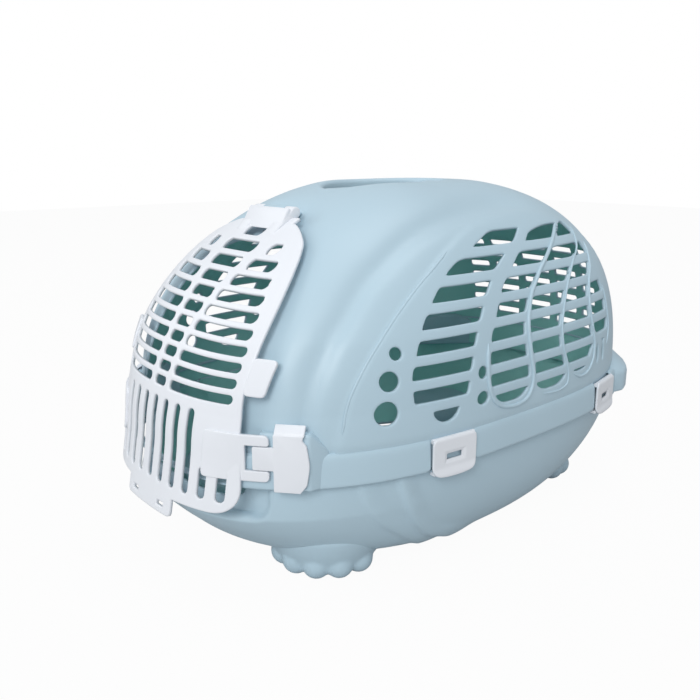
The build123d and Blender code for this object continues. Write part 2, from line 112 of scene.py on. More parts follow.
def dome_reaches(z):
    """The dome's half width, front and rear reach and its powers at a height."""
    upper = np.clip((z - UPPER_FOOT) / UPPER_RISE, 0, 1)
    return (
        DOME_HALF_WIDTH * dome_share(z, *WIDTH_CURVE),
        DOME_FRONT * dome_share(z, *FRONT_CURVE),
        DOME_REAR * dome_share(z, *REAR_CURVE),
        FRONT_POWER + (UPPER_FRONT_POWER - FRONT_POWER) * upper,
        REAR_POWER,
    )


def dome_height(x, y):
    """The dome's height over a point, found by halving."""
    low, high = np.full_like(x, BAND_TOP), np.full_like(x, CROWN)
    for _ in range(30):
        middle = (low + high) / 2
        half_width, front, rear, front_power, rear_power = dome_reaches(middle)
        behind = y >= WIDEST_Y
        power = np.where(behind, rear_power, front_power)
        reach = np.where(behind, rear, front)
        share = np.abs(x / half_width) ** power + np.abs((y - WIDEST_Y) / reach) ** power
        low = np.where(share < 1, middle, low)
        high = np.where(share < 1, high, middle)
    return low


def settle_crown(z):
    """Levels the top of the dome off at the height of the flat crown."""
    return soft_min(z, np.full_like(z, CROWN_FLAT), CROWN_BLEND)


def spaced_turns(count, z, weight=lambda x, y: 1):
    """Angles round the outline at a height, closer together where weight is high."""
    turn = np.linspace(0, 2 * np.pi, 20001)
    x, y = outline(turn, *dome_reaches(z))
    step = np.hypot(np.diff(x), np.diff(y)) * weight((x[1:] + x[:-1]) / 2, (y[1:] + y[:-1]) / 2)
    length = np.concatenate([[0], np.cumsum(step)])
    return np.interp(np.arange(count) * length[-1] / count, length, turn)


def across_columns(values, wrap):
    """Twice the change of a grid's values from each column to the next."""
    if wrap:
        return np.roll(values, -1, axis=1) - np.roll(values, 1, axis=1)
    return np.gradient(values, axis=1) * 2


def surface_slopes(points, field, wrap):
    """Normals of a grid of points, and the direction and size of a field's rise along it."""
    across, field_across = across_columns(points, wrap), across_columns(field, wrap)
    up = np.gradient(points, axis=0) * 2
    field_up = np.gradient(field, axis=0) * 2
    normal = np.cross(across, up)
    normal /= np.linalg.norm(normal, axis=2, keepdims=True) + 1e-12
    aa, bb, ab = (across**2).sum(2), (up**2).sum(2), (across * up).sum(2)
    det = aa * bb - ab**2 + 1e-18
    rise = across * ((field_across * bb - field_up * ab) / det)[..., None]
    rise += up * ((field_up * aa - field_across * ab) / det)[..., None]
    cell = np.sqrt(np.minimum(aa, bb)) / 2
    return normal, rise, cell


def linked(name, vertices, faces):
    """An object in the scene with a mesh of its own."""
    mesh = bpy.data.meshes.new(name)
    mesh.from_pydata(vertices, [], faces)
    piece = bpy.data.objects.new(name, mesh)
    bpy.context.scene.collection.objects.link(piece)
    return piece


# A grid point this near a trimmed edge, in cells, moves onto it where the cut is at least this steep.
SNAP, LEAST_STEEP = 0.3, 0.3


def moulded_sheet(name, points, cut, wall, rim, wrap=False):
    """A moulded wall over a grid of points, pierced and trimmed where cut is above zero.

    Its front edges are rounded to the radius rim, and it is wall thick behind the grid. The faces of
    its back have material index 1.
    """
    rows, columns = cut.shape
    normal, rise, cell = surface_slopes(points, cut, wrap)
    level = cut + rim
    steep = np.linalg.norm(rise, axis=2)
    slope = np.maximum(steep, LEAST_STEEP)
    near = (np.abs(level) < SNAP * cell * slope) & (steep > LEAST_STEEP)
    shift = np.where(near, level / slope**2, 0)
    points = points - rise * shift[..., None]
    level = np.where(near, 0.0, level)
    direction = rise / (steep[..., None] + 1e-9)

    flat_points = points.reshape(-1, 3)
    flat_normal = normal.reshape(-1, 3)
    flat_direction = direction.reshape(-1, 3)
    flat_level = level.reshape(-1)
    this_column = np.arange(columns if wrap else columns - 1)
    row_starts = np.arange(rows - 1)[:, None] * columns
    a = (row_starts + this_column).ravel()
    b = (row_starts + (this_column + 1) % columns).ravel()
    corners = np.stack([a, b, b + columns, a + columns], axis=1)
    corner_levels = flat_level[corners]
    whole = (corner_levels <= 0).all(axis=1)
    mixed = ~whole & (corner_levels < 0).any(axis=1)
    faces = [tuple(c) for c in corners[whole]]
    extra, crossings = [], {}

    def crossing(i, j):
        key = (min(i, j), max(i, j))
        if key not in crossings:
            li, lj = flat_level[key[0]], flat_level[key[1]]
            t = li / (li - lj)
            crossings[key] = len(flat_points) + len(extra)
            extra.append((*key, t))
        return crossings[key]

    for cell_corners in corners[mixed]:
        polygon = []
        for k in range(4):
            i, j = int(cell_corners[k]), int(cell_corners[(k + 1) % 4])
            if flat_level[i] <= 0:
                polygon.append(i)
            if (flat_level[i] < 0 < flat_level[j]) or (flat_level[j] < 0 < flat_level[i]):
                polygon.append(crossing(i, j))
        if len(polygon) >= 3:
            faces.append(tuple(polygon))
    if extra:
        i, j, t = (np.array(v) for v in zip(*extra))
        t = t[:, None]

        def between(values):
            return values[i] * (1 - t) + values[j] * t

        flat_points = np.concatenate([flat_points, between(flat_points)])
        flat_normal = np.concatenate([flat_normal, between(flat_normal)])
        flat_direction = np.concatenate([flat_direction, between(flat_direction)])
    flat_normal = flat_normal / (np.linalg.norm(flat_normal, axis=1, keepdims=True) + 1e-12)
    flat_direction = flat_direction / (np.linalg.norm(flat_direction, axis=1, keepdims=True) + 1e-12)

    count = {}
    for face in faces:
        for k in range(len(face)):
            edge = (face[k], face[(k + 1) % len(face)])
            key = (min(edge), max(edge))
            count[key] = None if key in count else edge
    border = [edge for edge in count.values() if edge]

    used = np.unique(np.concatenate([np.array(f) for f in faces]))
    front = {int(v): n for n, v in enumerate(used)}
    vertices = [flat_points[used], flat_points[used] - flat_normal[used] * wall]
    total = 2 * len(used)
    mesh_faces = [tuple(front[v] for v in face) for face in faces]
    mesh_faces += [tuple(front[v] + len(used) for v in reversed(face)) for face in faces]
    edge_vertices = sorted({v for edge in border for v in edge})
    place = {v: n for n, v in enumerate(edge_vertices)}
    profile = [(rim * math.sin(t), rim * (1 - math.cos(t))) for t in (math.radians(45), math.radians(90))]
    profile.append((rim, wall - rim / 2))
    starts = []
    for out, down in profile:
        index = np.array(edge_vertices)
        vertices.append(flat_points[index] + flat_direction[index] * out - flat_normal[index] * down)
        starts.append(total)
        total += len(edge_vertices)
    for v, w in border:
        ring_v = [front[v]] + [s + place[v] for s in starts] + [front[v] + len(used)]
        ring_w = [front[w]] + [s + place[w] for s in starts] + [front[w] + len(used)]
        for k in range(len(ring_v) - 1):
            mesh_faces.append((ring_w[k], ring_v[k], ring_v[k + 1], ring_w[k + 1]))
    piece = linked(name, np.concatenate(vertices).tolist(), mesh_faces)
    polygons = piece.data.polygons
    polygons.foreach_set("use_smooth", np.ones(len(polygons), bool))
    polygons.foreach_set("material_index", [len(faces) <= k < 2 * len(faces) for k in range(len(polygons))])
    piece.data.update()
    return piece


def curve_through(stations, values, at):
    """A smooth curve through a few stations, straight beyond its ends."""
    stations, values = np.asarray(stations, float), np.asarray(values, float)
    slopes = np.gradient(values, stations)
    k = np.clip(np.searchsorted(stations, at) - 1, 0, len(stations) - 2)
    gap = stations[k + 1] - stations[k]
    t = (at - stations[k]) / gap
    u = np.clip(t, 0, 1)
    start, end = slopes[k] * gap, slopes[k + 1] * gap
    curve = (2 * u**3 - 3 * u**2 + 1) * values[k] + (3 * u**2 - 2 * u**3) * values[k + 1]
    curve += (u**3 - 2 * u**2 + u) * start + (u**3 - u**2) * end
    return curve + np.where(t < 0, t * start, 0) + np.where(t > 1, (t - 1) * end, 0)


def curve_mm(points, at):
    """A smooth curve through (station, value) points in millimetres, worked out in metres."""
    return curve_through(*(np.array(points, float).T / 1000), at)


def beside_curve(points, along, away):
    """Signed distance from a curve given as (along, away) points in millimetres.

    It is above zero where away is less than the curve's.
    """
    value = curve_mm(points, along)
    slope = (curve_mm(points, along + 0.001) - value) / 0.001
    return (value - away) / np.sqrt(1 + slope**2)


# Each column of vents: its front edge and its rear edge as (z, y), its foot as (y, z, half width),
# and its first and last rows. Millimetres.
VENT_COLUMNS = [
    ([(149, -112), (167, -113), (185, -107), (203, -98), (221, -82), (239, -58), (255, -17), (263, 6)],
     [(148, -62), (167, -57), (185, -51), (203, -41), (221, -27), (239, -4), (253, 25), (261, 39)],
     None, 1, 7),
    ([(133, -32), (150, -36.5), (168, -36.5), (185, -33.5), (203, -23), (221, -9), (237, 14), (253, 43),
      (258, 55), (262, 75)],
     [(137, 11), (150, 11.5), (170, 8.5), (189, 8.5), (204, 15), (221, 30), (238, 57), (259, 97)],
     (-11, 131.5, 22), 0, 7),
    ([(134, 19), (149, 19.5), (170, 16), (189, 14.5), (204, 21), (221, 36), (238, 63), (252, 92), (259, 105)],
     [(134, 65), (147, 62.5), (165, 56.5), (182, 56.5), (198, 63), (213, 74), (229, 93), (242, 117),
      (252, 127), (260, 121)],
     (42, 132, 24), 0, 7),
    ([(136, 69), (150, 66), (165, 61), (182, 61.5), (198, 68.5), (213, 79.5), (229, 98.5), (242, 122)],
     [(137, 105), (155, 112), (174, 109.5), (192, 107.5), (208, 112.5), (224, 127), (236, 136), (243, 132)],
     (87, 138, 19), 0, 6),
    ([(158, 131), (166, 119.5), (180, 114.5), (192, 113), (201, 115), (210, 120)],
     [(158, 140), (167, 148), (184, 147), (201, 146), (210, 142)], None, 1, 4),
]
FIRST_VENT_Z, VENT_PITCH, VENT_HALF_HEIGHT, VENT_CORNER = 0.1350, 0.0174, 0.0049, 0.003
# How far a column's rounded foot rises at its sides.
FOOT_RISE = 0.009
# Round and oval holes beside the columns: y, z, half length, half height, in millimetres.
VENT_HOLES = [
    (-124, 186, 4.7, 4.7), (-131, 167, 7.3, 7.3), (-134, 144, 8.9, 8.9),
    (-46, 161, 5, 5), (-46, 141, 6.2, 5.2), (122, 146, 2.4, 7), (135, 146, 2.4, 7),
]
# The half-moon vent below the first column.
MOON_Y, MOON_Z, MOON_RADIUS = -0.0835, 0.1405, 0.0125
# The beads along the columns' edges: half width, height and a path of (y, z). Millimetres.
BEADS = [
    (1.7, 1.6, [(100, 261), (80, 250), (60, 238.5), (45, 230), (33, 221), (23, 212), (18, 204), (12.5, 189),
                (12, 178), (13, 165), (15.5, 150), (14.5, 139), (9, 131), (-2, 127.5), (-16, 128),
                (-28, 132), (-36, 140), (-40, 152), (-40.5, 168), (-38.5, 182)]),
    (1.0, 1.0, [(131, 256), (120, 243), (96, 229), (77, 213), (66, 198), (59, 182), (59, 165), (64.5, 149),
                (67.5, 138), (66, 131), (56, 127.5), (44, 127.5), (30, 129)]),
    (1.3, 1.3, [(141, 243), (131, 225), (115, 208), (110, 192), (111.5, 174), (115, 155), (110, 140),
                (101, 133.5), (88, 132.5), (76, 137)]),
    (0.9, 0.9, [(148, 205), (151, 185), (152, 165), (146, 150)]),
    (1.1, 0.6, [(-165, 133), (-159, 157), (-146, 180), (-128, 201), (-110, 217), (-92, 230), (-75, 240),
                (-55, 251)]),
]
# The rear wall's slots: rows that go up by the pitch, and columns as (middle, half length). Metres.
REAR_ROWS, REAR_FIRST_Z, REAR_PITCH, REAR_HALF_HEIGHT = 7, 0.1430, 0.0135, 0.0030
REAR_COLUMNS = [(0, 0.017), (0.040, 0.014), (0.073, 0.010)]


def vent_cut(y, z):
    """Above zero inside a side vent."""
    cut = np.full_like(y, UNCUT)
    for front_edge, rear_edge, foot, first_row, last_row in VENT_COLUMNS:
        column = soft_min(-beside_curve(front_edge, z, y), beside_curve(rear_edge, z, y), VENT_CORNER)
        if foot:
            foot_y, foot_z, half_width = (value / 1000 for value in foot)
            beside_foot = np.minimum(np.abs(y - foot_y) / half_width, 1.2)
            column = soft_min(column, z - foot_z - FOOT_RISE * beside_foot**3, 0.004)
        row = np.clip(np.round((z - FIRST_VENT_Z) / VENT_PITCH), first_row, last_row)
        level = VENT_HALF_HEIGHT - np.abs(z - FIRST_VENT_Z - row * VENT_PITCH)
        cut = np.maximum(cut, soft_min(column, level, VENT_CORNER))
    for hole_y, hole_z, length, height in VENT_HOLES:
        far = np.hypot((y - hole_y / 1000) / length, (z - hole_z / 1000) / height) * 1000
        cut = np.maximum(cut, (1 - far) * min(length, height) / 1000)
    half_moon = MOON_RADIUS - np.hypot(y - MOON_Y, (z - MOON_Z) * 1.15)
    return np.maximum(cut, soft_min(half_moon, MOON_Z - 0.001 - z, 0.002))


def rear_cut(x, z):
    """Above zero inside one of the slots in the rear wall."""
    row = np.clip(np.round((z - REAR_FIRST_Z) / REAR_PITCH), 0, REAR_ROWS - 1)
    level = REAR_HALF_HEIGHT - np.abs(z - REAR_FIRST_Z - row * REAR_PITCH)
    column = np.maximum.reduce([half - np.abs(np.abs(x) - middle) for middle, half in REAR_COLUMNS])
    return soft_min(level, column, 0.0020)


# The raised panel's top edge, the valley round its shoulder and the door's seat, in millimetres.
PANEL_TOP = [(-167, 130), (-159, 157), (-146, 180), (-128, 201), (-92, 230), (-32, 261), (25, 273),
             (95, 271), (128, 262), (160, 243), (185, 212), (200, 175), (207, 130)]
SHOULDER_VALLEY = [(-189, 142), (-184, 159), (-167, 194), (-151, 213), (-132, 232), (-108, 248),
                   (-85, 260), (-55, 270), (-17, 277), (33, 282), (90, 281)]
SEAT_EDGE = [(94, 101), (150, 100), (190, 97.5), (201, 96.5), (229, 89), (241, 83.5), (251, 77), (264, 65),
             (276, 47)]
OPENING_EDGE = [(83, 80), (119, 80), (150, 79), (168, 78), (204, 77), (240, 63), (261, 37)]
OPENING_TOP, OPENING_CORNER = 0.261, 0.012
PANEL_PROUD, VALLEY_DEPTH, VALLEY_HALF_WIDTH = 0.0015, 0.0042, 0.0062
SEAT_SLOPE, SEAT_WIDTH = 0.48, 0.0135


def shell_relief(x, y, z):
    """How far the moulded detail stands out of the dome."""
    panel = beside_curve(PANEL_TOP, y, z)
    relief = PANEL_PROUD * smoothstep(-0.002, 0.002, panel) * smoothstep(-0.172, -0.166, y)
    valley = beside_curve(SHOULDER_VALLEY, y, z)
    fade = smoothstep(-0.196, -0.180, y) * (1 - smoothstep(0.03, 0.10, y))
    relief -= VALLEY_DEPTH * np.exp(-((valley / VALLEY_HALF_WIDTH) ** 2)) * fade
    seat = beside_curve(SEAT_EDGE, z, np.abs(x))
    in_front = smoothstep(-0.09, -0.11, y) * smoothstep(0.290, 0.274, z) * smoothstep(0.115, 0.135, z)
    ramp = soft_min(np.maximum(seat, 0), np.full_like(seat, SEAT_WIDTH), 0.002)
    return relief - SEAT_SLOPE * np.maximum(ramp, 0) * in_front


def side_weight(x, y):
    """How close together the shell's columns are: closest beside the vents, then at the back."""
    beside = smoothstep(0.085, 0.11, np.abs(x)) * smoothstep(-0.165, -0.145, y) * smoothstep(0.185, 0.165, y)
    return 1 + 1.25 * beside + 0.5 * smoothstep(0.17, 0.2, y)


SHELL_COLUMNS, SHELL_FOOT, SHELL_TUCK = 470, 0.0955, 0.0015
# Side vents are cut beyond this X, and the rear wall's slots behind this Y.
VENTS_X, REAR_SLOTS_Y = 0.05, 0.17
turns = spaced_turns(SHELL_COLUMNS, 0.19, side_weight)
# Rows behind the band, beside the vents and above them.
side_heights = np.concatenate([
    np.arange(0.0915, 0.121, 0.0042), np.arange(0.1225, 0.268, 0.00205), np.arange(0.2700, 0.2905, 0.003),
])
rows = []
for height in side_heights:
    tuck = SHELL_TUCK * smoothstep(0.124, 0.116, height)
    rows.append(ring(turns, settle_crown(height), dome_reaches(height), tuck))
# The crown closes in from the last of those rows to the grip's oval, whose rim turns down inside.
GRIP_HALF_WIDTH, GRIP_HALF_LENGTH, GRIP_Y, GRIP_RIM = 0.040, 0.064, -0.005, 0.004
GRIP_DEPTH = 0.0115
CROWN_ROWS = 14


def grip_ring(inward, z):
    """Points round the grip's opening, inward from where its rim starts."""
    x = (GRIP_HALF_WIDTH + GRIP_RIM - inward) * np.cos(turns)
    y = GRIP_Y + (GRIP_HALF_LENGTH + GRIP_RIM - inward) * np.sin(turns)
    return np.stack([x, y, z], axis=1)


last_row, oval = rows[-1], grip_ring(0, np.zeros_like(turns))
for step in range(1, CROWN_ROWS + 1):
    row = last_row + (oval - last_row) * (step / CROWN_ROWS)
    row[:, 2] = settle_crown(dome_height(row[:, 0], row[:, 1]))
    rows.append(row)
rim_depth = [0.0] * len(rows)
crown_z = rows[-1][:, 2]
for degrees, drop in ((20, 0), (40, 0), (60, 0), (80, 0), (90, 0.003), (90, 0.0062), (90, 0.0095)):
    angle = math.radians(degrees)
    down = GRIP_RIM * (1 - math.cos(angle)) + drop
    rows.append(grip_ring(GRIP_RIM * math.sin(angle), crown_z - down))
    rim_depth.append(down)
rim_depth = np.array(rim_depth)[:, None]
points = np.array(rows)
x, y, z = points[..., 0], points[..., 1], points[..., 2]
in_dome = rim_depth == 0
normal, _, _ = surface_slopes(points, z, True)
points = points + normal * (shell_relief(x, y, z) * in_dome)[..., None]
opening = soft_min(beside_curve(OPENING_EDGE, z, np.abs(x)), OPENING_TOP - z, OPENING_CORNER)
opening = np.where(y < WAY_IN_Y, opening, UNCUT)
vents = np.where((np.abs(x) > VENTS_X) & in_dome, vent_cut(y, z), UNCUT)
vents = np.where((y > REAR_SLOTS_Y) & in_dome, np.maximum(vents, rear_cut(x, z)), vents)
grip_end = np.where(in_dome, UNCUT, rim_depth - GRIP_DEPTH) + 0 * z
cut = np.maximum.reduce([opening, vents, grip_end, SHELL_FOOT - z])
shell = moulded_sheet("shell", points, cut, WALL, rim=0.0010, wrap=True)


class Wire:
    """An output socket of a material's node, with arithmetic on it."""

    def __init__(self, tree, socket):
        self.tree, self.socket = tree, socket

    def node(self, kind, inputs, output=0, **settings):
        """Adds a node with its settings, and wires or constants on its inputs, and gives an output."""
        new = self.tree.nodes.new("ShaderNode" + kind)
        for name, value in settings.items():
            setattr(new, name, value)
        for name, value in inputs.items():
            if isinstance(value, Wire):
                self.tree.links.new(value.socket, new.inputs[name])
            else:
                new.inputs[name].default_value = value
        return Wire(self.tree, new.outputs[output])

    def maths(self, operation, other):
        """Adds a Math node on this and another wire or number."""
        return self.node("Math", {0: self, 1: other}, operation=operation)

    def __add__(self, other):
        return self.maths("ADD", other)

    def __mul__(self, other):
        return self.maths("MULTIPLY", other)

    __radd__, __rmul__ = __add__, __mul__

    def noise(self, scale, detail=2):
        """Adds a noise pattern on this vector."""
        return self.node("TexNoise", {"Vector": self, "Scale": scale, "Detail": detail})


PLASTIC_IOR, GLOSS_RANGE = 1.46, 0.10


def moulded_plastic(name, color, roughness):
    """Satin injection-moulded plastic: a fine spark-eroded grain and a slight unevenness of gloss."""
    material = bpy.data.materials.new(name)
    material.use_nodes = True
    tree = material.node_tree
    principled = tree.nodes["Principled BSDF"]
    coordinates = tree.nodes.new("ShaderNodeTexCoord")
    place = Wire(tree, coordinates.outputs["Object"])
    cloud = place.noise(9)
    deep = tuple(channel * 0.95 for channel in color) + (1,)
    tint = cloud.node("Mix", {0: cloud, 6: tuple(color) + (1,), 7: deep}, output=2, data_type="RGBA")
    gloss = place.noise(35) * GLOSS_RANGE + (roughness - GLOSS_RANGE / 2)
    grain = place.noise(1500, 1)
    normal = grain.node("Bump", {"Height": grain, "Strength": 0.10, "Distance": 0.0002})
    tree.links.new(tint.socket, principled.inputs["Base Color"])
    tree.links.new(gloss.socket, principled.inputs["Roughness"])
    tree.links.new(normal.socket, principled.inputs["Normal"])
    principled.inputs["IOR"].default_value = PLASTIC_IOR
    return material


BLUE = (0.47, 0.62, 0.71)
WHITE = (0.80, 0.825, 0.87)
# The inner faces' colour is the same blue plastic made lighter and greener: painted bounce light from inside
# the shell and tub.
INSIDE_PAINTED_BOUNCE = (0.40, 0.76, 0.72)
blue_plastic = moulded_plastic("pastel_blue_plastic", BLUE, 0.42)
bounce_painted_plastic = moulded_plastic("pastel_blue_plastic_painted_bounce", INSIDE_PAINTED_BOUNCE, 0.5)
white_plastic = moulded_plastic("white_plastic", WHITE, 0.36)


def paint_sheet(piece):
    """Gives a sheet the blue plastic outside, and on its inner face a lighter, greener copy of the same
    plastic that paints the light bounced about inside it.
    """
    piece.data.materials.append(blue_plastic)
    piece.data.materials.append(bounce_painted_plastic)


paint_sheet(shell)

# The skirt band at the foot of the upper shell, with its windows for the clips, and the raised corners.
# The same blue moulding as the shell: the front corners carry the latches, the rear ones are bumpers.
# Its section is in (height, inset) points.
BAND_PROFILE = [(0.0912, 0), (0.0930, 0), (0.0965, 0), (0.1005, 0.0001), (0.1050, 0.0003), (0.1095, 0.0005),
                (0.1130, 0.0008), (0.1155, 0.0011), (0.1172, 0.0016), (0.1184, 0.0024), (0.1191, 0.0034),
                (0.1194, 0.0045), (0.1195, 0.0058)]
BAND_REACHES = (BAND_HALF_WIDTH, BAND_FRONT, BAND_REAR, FRONT_POWER, REAR_POWER)
BAND_WALL, LEDGE_TUCK, LEDGE_REAR_RISE = 0.0022, 0.0048, 0.0110
CLIP_WIDTH, CLIP_GAP = 0.043, 0.0006
CLIP_STATIONS = {"front": -0.077, "rear": 0.140}


def frame_at(origin, along, outward):
    """A place with X along, Y up and Z outward."""
    up = outward.cross(along)
    matrix = Matrix((along, up, outward)).transposed().to_4x4()
    return Matrix.Translation(origin) @ matrix


def clip_frame(side, station_y):
    """Where a clip lies flat against the band: X along the band, Y up, Z outward."""
    power, reach = (REAR_POWER, BAND_REAR) if station_y > WIDEST_Y else (FRONT_POWER, BAND_FRONT)
    share = abs(station_y - WIDEST_Y) / reach
    remaining = (1 - share**power) ** (1 / power)
    fall = BAND_HALF_WIDTH / reach * (share / remaining) ** (power - 1) * (1 if station_y > WIDEST_Y else -1)
    outward = Vector((side, fall, 0)).normalized()
    along = Vector((-outward.y, outward.x, 0))
    return frame_at(Vector((side * BAND_HALF_WIDTH * remaining, station_y, 0)), along, outward)


clip_frames = {
    f"{end}_{side_name}": clip_frame(side, station)
    for end, station in CLIP_STATIONS.items()
    for side_name, side in (("right", 1), ("left", -1))
}


def clip_window(points):
    """Above zero within a clip's window in the band."""
    window = np.full(points.shape[:-1], UNCUT)
    for place in clip_frames.values():
        offset = points - np.array(place.translation)
        along = offset @ np.array(place.col[0][:3])
        near = np.abs(offset @ np.array(place.col[2][:3])) < 0.03
        window = np.maximum(window, np.where(near, CLIP_WIDTH / 2 + CLIP_GAP - np.abs(along), UNCUT))
    return window


band_turns = spaced_turns(620, 0.19)
band_rows = [ring(band_turns, height, BAND_REACHES, inset) for height, inset in BAND_PROFILE]
# The ledge from the band's top edge up to the dome, which is set further in at the back.
band_edge = band_rows[-1]
ledge = ring(band_turns, BAND_PROFILE[-1][0], dome_reaches(BAND_TOP), LEDGE_TUCK)
ledge[:, 2] += LEDGE_REAR_RISE * smoothstep(0.02, 0.14, ledge[:, 1])
band_rows += [band_edge * (1 - share) + ledge * share for share in (0.3, 0.6, 0.9, 1.1)]
points = np.array(band_rows)
x, y, z = points[..., 0], points[..., 1], points[..., 2]
past_top = (np.arange(len(band_rows)) - len(band_rows) + 1.5)[:, None] * 0.001 + 0 * z
way_in = np.where(y < WAY_IN_Y, WAY_IN_HALF_WIDTH - np.abs(x), UNCUT)
cut = np.maximum.reduce([BAND_BOTTOM - z, past_top, clip_window(points), way_in])
band = moulded_sheet("band", points, cut, BAND_WALL, rim=0.0008, wrap=True)
paint_sheet(band)


def select_only(*pieces):
    """Selects these pieces alone, with the first one active."""
    bpy.ops.object.select_all(action="DESELECT")
    for piece in pieces:
        piece.select_set(True)
    bpy.context.view_layer.objects.active = pieces[0]


def join(*pieces):
    """Joins pieces into the first one, whose first material goes on a piece that has none."""
    for piece in pieces[1:]:
        if pieces[0].data.materials and not piece.data.materials:
            piece.data.materials.append(pieces[0].data.materials[0])
    select_only(*pieces)
    bpy.ops.object.join()
    return pieces[0]


def finished(piece, bevel=0, segments=3, angle=35):
    """Bevels a piece's sharp edges and shades it smooth up to the angle."""
    select_only(piece)
    if bevel:
        modifier = piece.modifiers.new("bevel", "BEVEL")
        modifier.width = bevel
        modifier.segments = segments
        modifier.limit_method = "ANGLE"
        modifier.angle_limit = math.radians(30)
        bpy.ops.object.modifier_apply(modifier=modifier.name)
    bpy.ops.object.transform_apply(location=True, rotation=True, scale=True)
    bpy.ops.object.shade_smooth_by_angle(angle=math.radians(angle))
    return piece


def ring_faces(count, rings, closed=False, first=0):
    """Faces between rings of count points, and from the last ring to the first one if closed."""
    faces = []
    for row in range(rings if closed else rings - 1):
        for k in range(count):
            a, b = row * count + k, row * count + (k + 1) % count
            faces.append(tuple(first + v % (rings * count) for v in (a, b, b + count, a + count)))
    return faces


def lofted(name, place, sections, bevel, segments=3, angle=35):
    """A solid through sections with the same number of points, closed at both ends and bevelled."""
    count = len(sections[0])
    vertices = [place @ Vector(point) for section in sections for point in section]
    ends = [tuple(range(count - 1, -1, -1)), tuple(range(len(vertices) - count, len(vertices)))]
    piece = linked(name, vertices, ends + ring_faces(count, len(sections)))
    select_only(piece)
    bpy.ops.object.mode_set(mode="EDIT")
    bpy.ops.mesh.select_all(action="SELECT")
    bpy.ops.mesh.normals_make_consistent(inside=False)
    bpy.ops.object.mode_set(mode="OBJECT")
    return finished(piece, bevel, segments, angle)


UNMOVED = Matrix.Identity(4)
LATCH_ANGLE, LATCH_X, LATCH_Y = math.radians(41), 0.1058, -0.2102
LATCH_THICK, RUNNING_GAP = 0.003, 0.0004


def latch_frame(side):
    """A latch's outer face: X along the way it slides, Y up, Z outward."""
    outward = Vector((side * math.sin(LATCH_ANGLE), -math.cos(LATCH_ANGLE), 0))
    along = Vector((math.cos(LATCH_ANGLE), side * math.sin(LATCH_ANGLE), 0))
    return frame_at(Vector((side * LATCH_X, LATCH_Y, 0)), along, outward)


# The raised corners that the latches slide on, as sections across them: along the latch's way, and the
# depths of the face and of the back, with the height of the top.
PAD_FOOT, PAD_FACE = 0.0942, -LATCH_THICK - RUNNING_GAP
PAD_SECTIONS = [(-0.008, PAD_FACE, -0.024, 0.136), (0.028, PAD_FACE, -0.024, 0.136),
                (0.0395, -0.0150, -0.032, 0.1215)]
for side in (1, -1):
    sections = [
        [(side * along, PAD_FOOT, face), (side * along, top, face), (side * along, top, back),
         (side * along, PAD_FOOT, back)]
        for along, face, back, top in PAD_SECTIONS
    ]
    shell = join(shell, lofted("pad", latch_frame(side), sections, bevel=0.0014))

REAR_CORNER_ANGLE = math.radians(54)
REAR_CORNER_BACK, REAR_CORNER_LEVEL = -0.022, -0.010
# Sections from a rear corner's middle to its end: along, proud of the band, and the heights of the
# face's top and the slope's.
REAR_CORNER_HALF = [(0.0, 0.0088, 0.1150, 0.1310), (0.013, 0.0082, 0.1150, 0.1310),
                    (0.026, 0.0050, 0.1145, 0.1270), (0.036, -0.0050, 0.1140, 0.1200)]
rear_corner = [(-along, *rest) for along, *rest in reversed(REAR_CORNER_HALF[1:])] + REAR_CORNER_HALF
# Where the band's outline faces that way.
dual = REAR_POWER / (REAR_POWER - 1)
across, back = BAND_HALF_WIDTH * math.sin(REAR_CORNER_ANGLE), BAND_REAR * math.cos(REAR_CORNER_ANGLE)
support = (across**dual + back**dual) ** (1 / dual)
corner_x = BAND_HALF_WIDTH * (across / support) ** (dual - 1)
corner_y = WIDEST_Y + BAND_REAR * (back / support) ** (dual - 1)
for side in (1, -1):
    outward = Vector((side * math.sin(REAR_CORNER_ANGLE), math.cos(REAR_CORNER_ANGLE), 0))
    along = Vector((-outward.y, outward.x, 0))
    place = frame_at(Vector((side * corner_x, corner_y, 0)), along, outward)
    sections = []
    for station, proud, face_top, top in rear_corner:
        sections.append([(station, PAD_FOOT, REAR_CORNER_BACK), (station, PAD_FOOT, proud),
                         (station, face_top, proud), (station, top, REAR_CORNER_LEVEL),
                         (station, top, REAR_CORNER_BACK)])
    shell = join(shell, lofted("rear_corner", place, sections, bevel=0.0030, segments=4))
shell = join(shell, band)

# The grip bar across the opening in the crown, the hinge lug above the door and the beads between the vents.
# They are moulded in one with the shell.
BAR_HALF_WIDTH, BAR_THICK, BAR_SUNK, BAR_SAG, BAR_INTO_RIM = 0.012, 0.0128, 0.0008, 0.0052, 0.0015
sections = []
for share in np.linspace(-1, 1, 13):
    station = GRIP_Y + share * (GRIP_HALF_LENGTH + BAR_INTO_RIM)
    crown = float(settle_crown(dome_height(np.array(0.0), np.array(station))))
    top = crown - BAR_SUNK - BAR_SAG * (1 - share**4)
    sections.append([(-BAR_HALF_WIDTH, station, top), (BAR_HALF_WIDTH, station, top),
                     (BAR_HALF_WIDTH, station, top - BAR_THICK), (-BAR_HALF_WIDTH, station, top - BAR_THICK)])
shell = join(shell, lofted("grip_bar", UNMOVED, sections, bevel=0.0042, segments=4))
HINGE_Y, HINGE_Z = -0.125372, 0.278
KNUCKLE_INNER, KNUCKLE_RADIUS, KNUCKLE_GAP = 0.015, 0.0045, 0.0006


def hinge_arc(x, low, high):
    """Points round the door's hinge line at x, from one angle to another in degrees."""
    turns = [math.radians(degrees) for degrees in range(low, high + 1, 15)]
    return [(x, HINGE_Y + KNUCKLE_RADIUS * math.cos(turn), HINGE_Z + KNUCKLE_RADIUS * math.sin(turn))
            for turn in turns]


sections = [
    hinge_arc(x, 50, 230) + [(x, HINGE_Y + 0.004, HINGE_Z - 0.011), (x, HINGE_Y + 0.016, HINGE_Z - 0.002)]
    for x in (KNUCKLE_GAP - KNUCKLE_INNER, KNUCKLE_INNER - KNUCKLE_GAP)
]
shell = join(shell, lofted("hinge_lug", UNMOVED, sections, bevel=0.0006, segments=2))


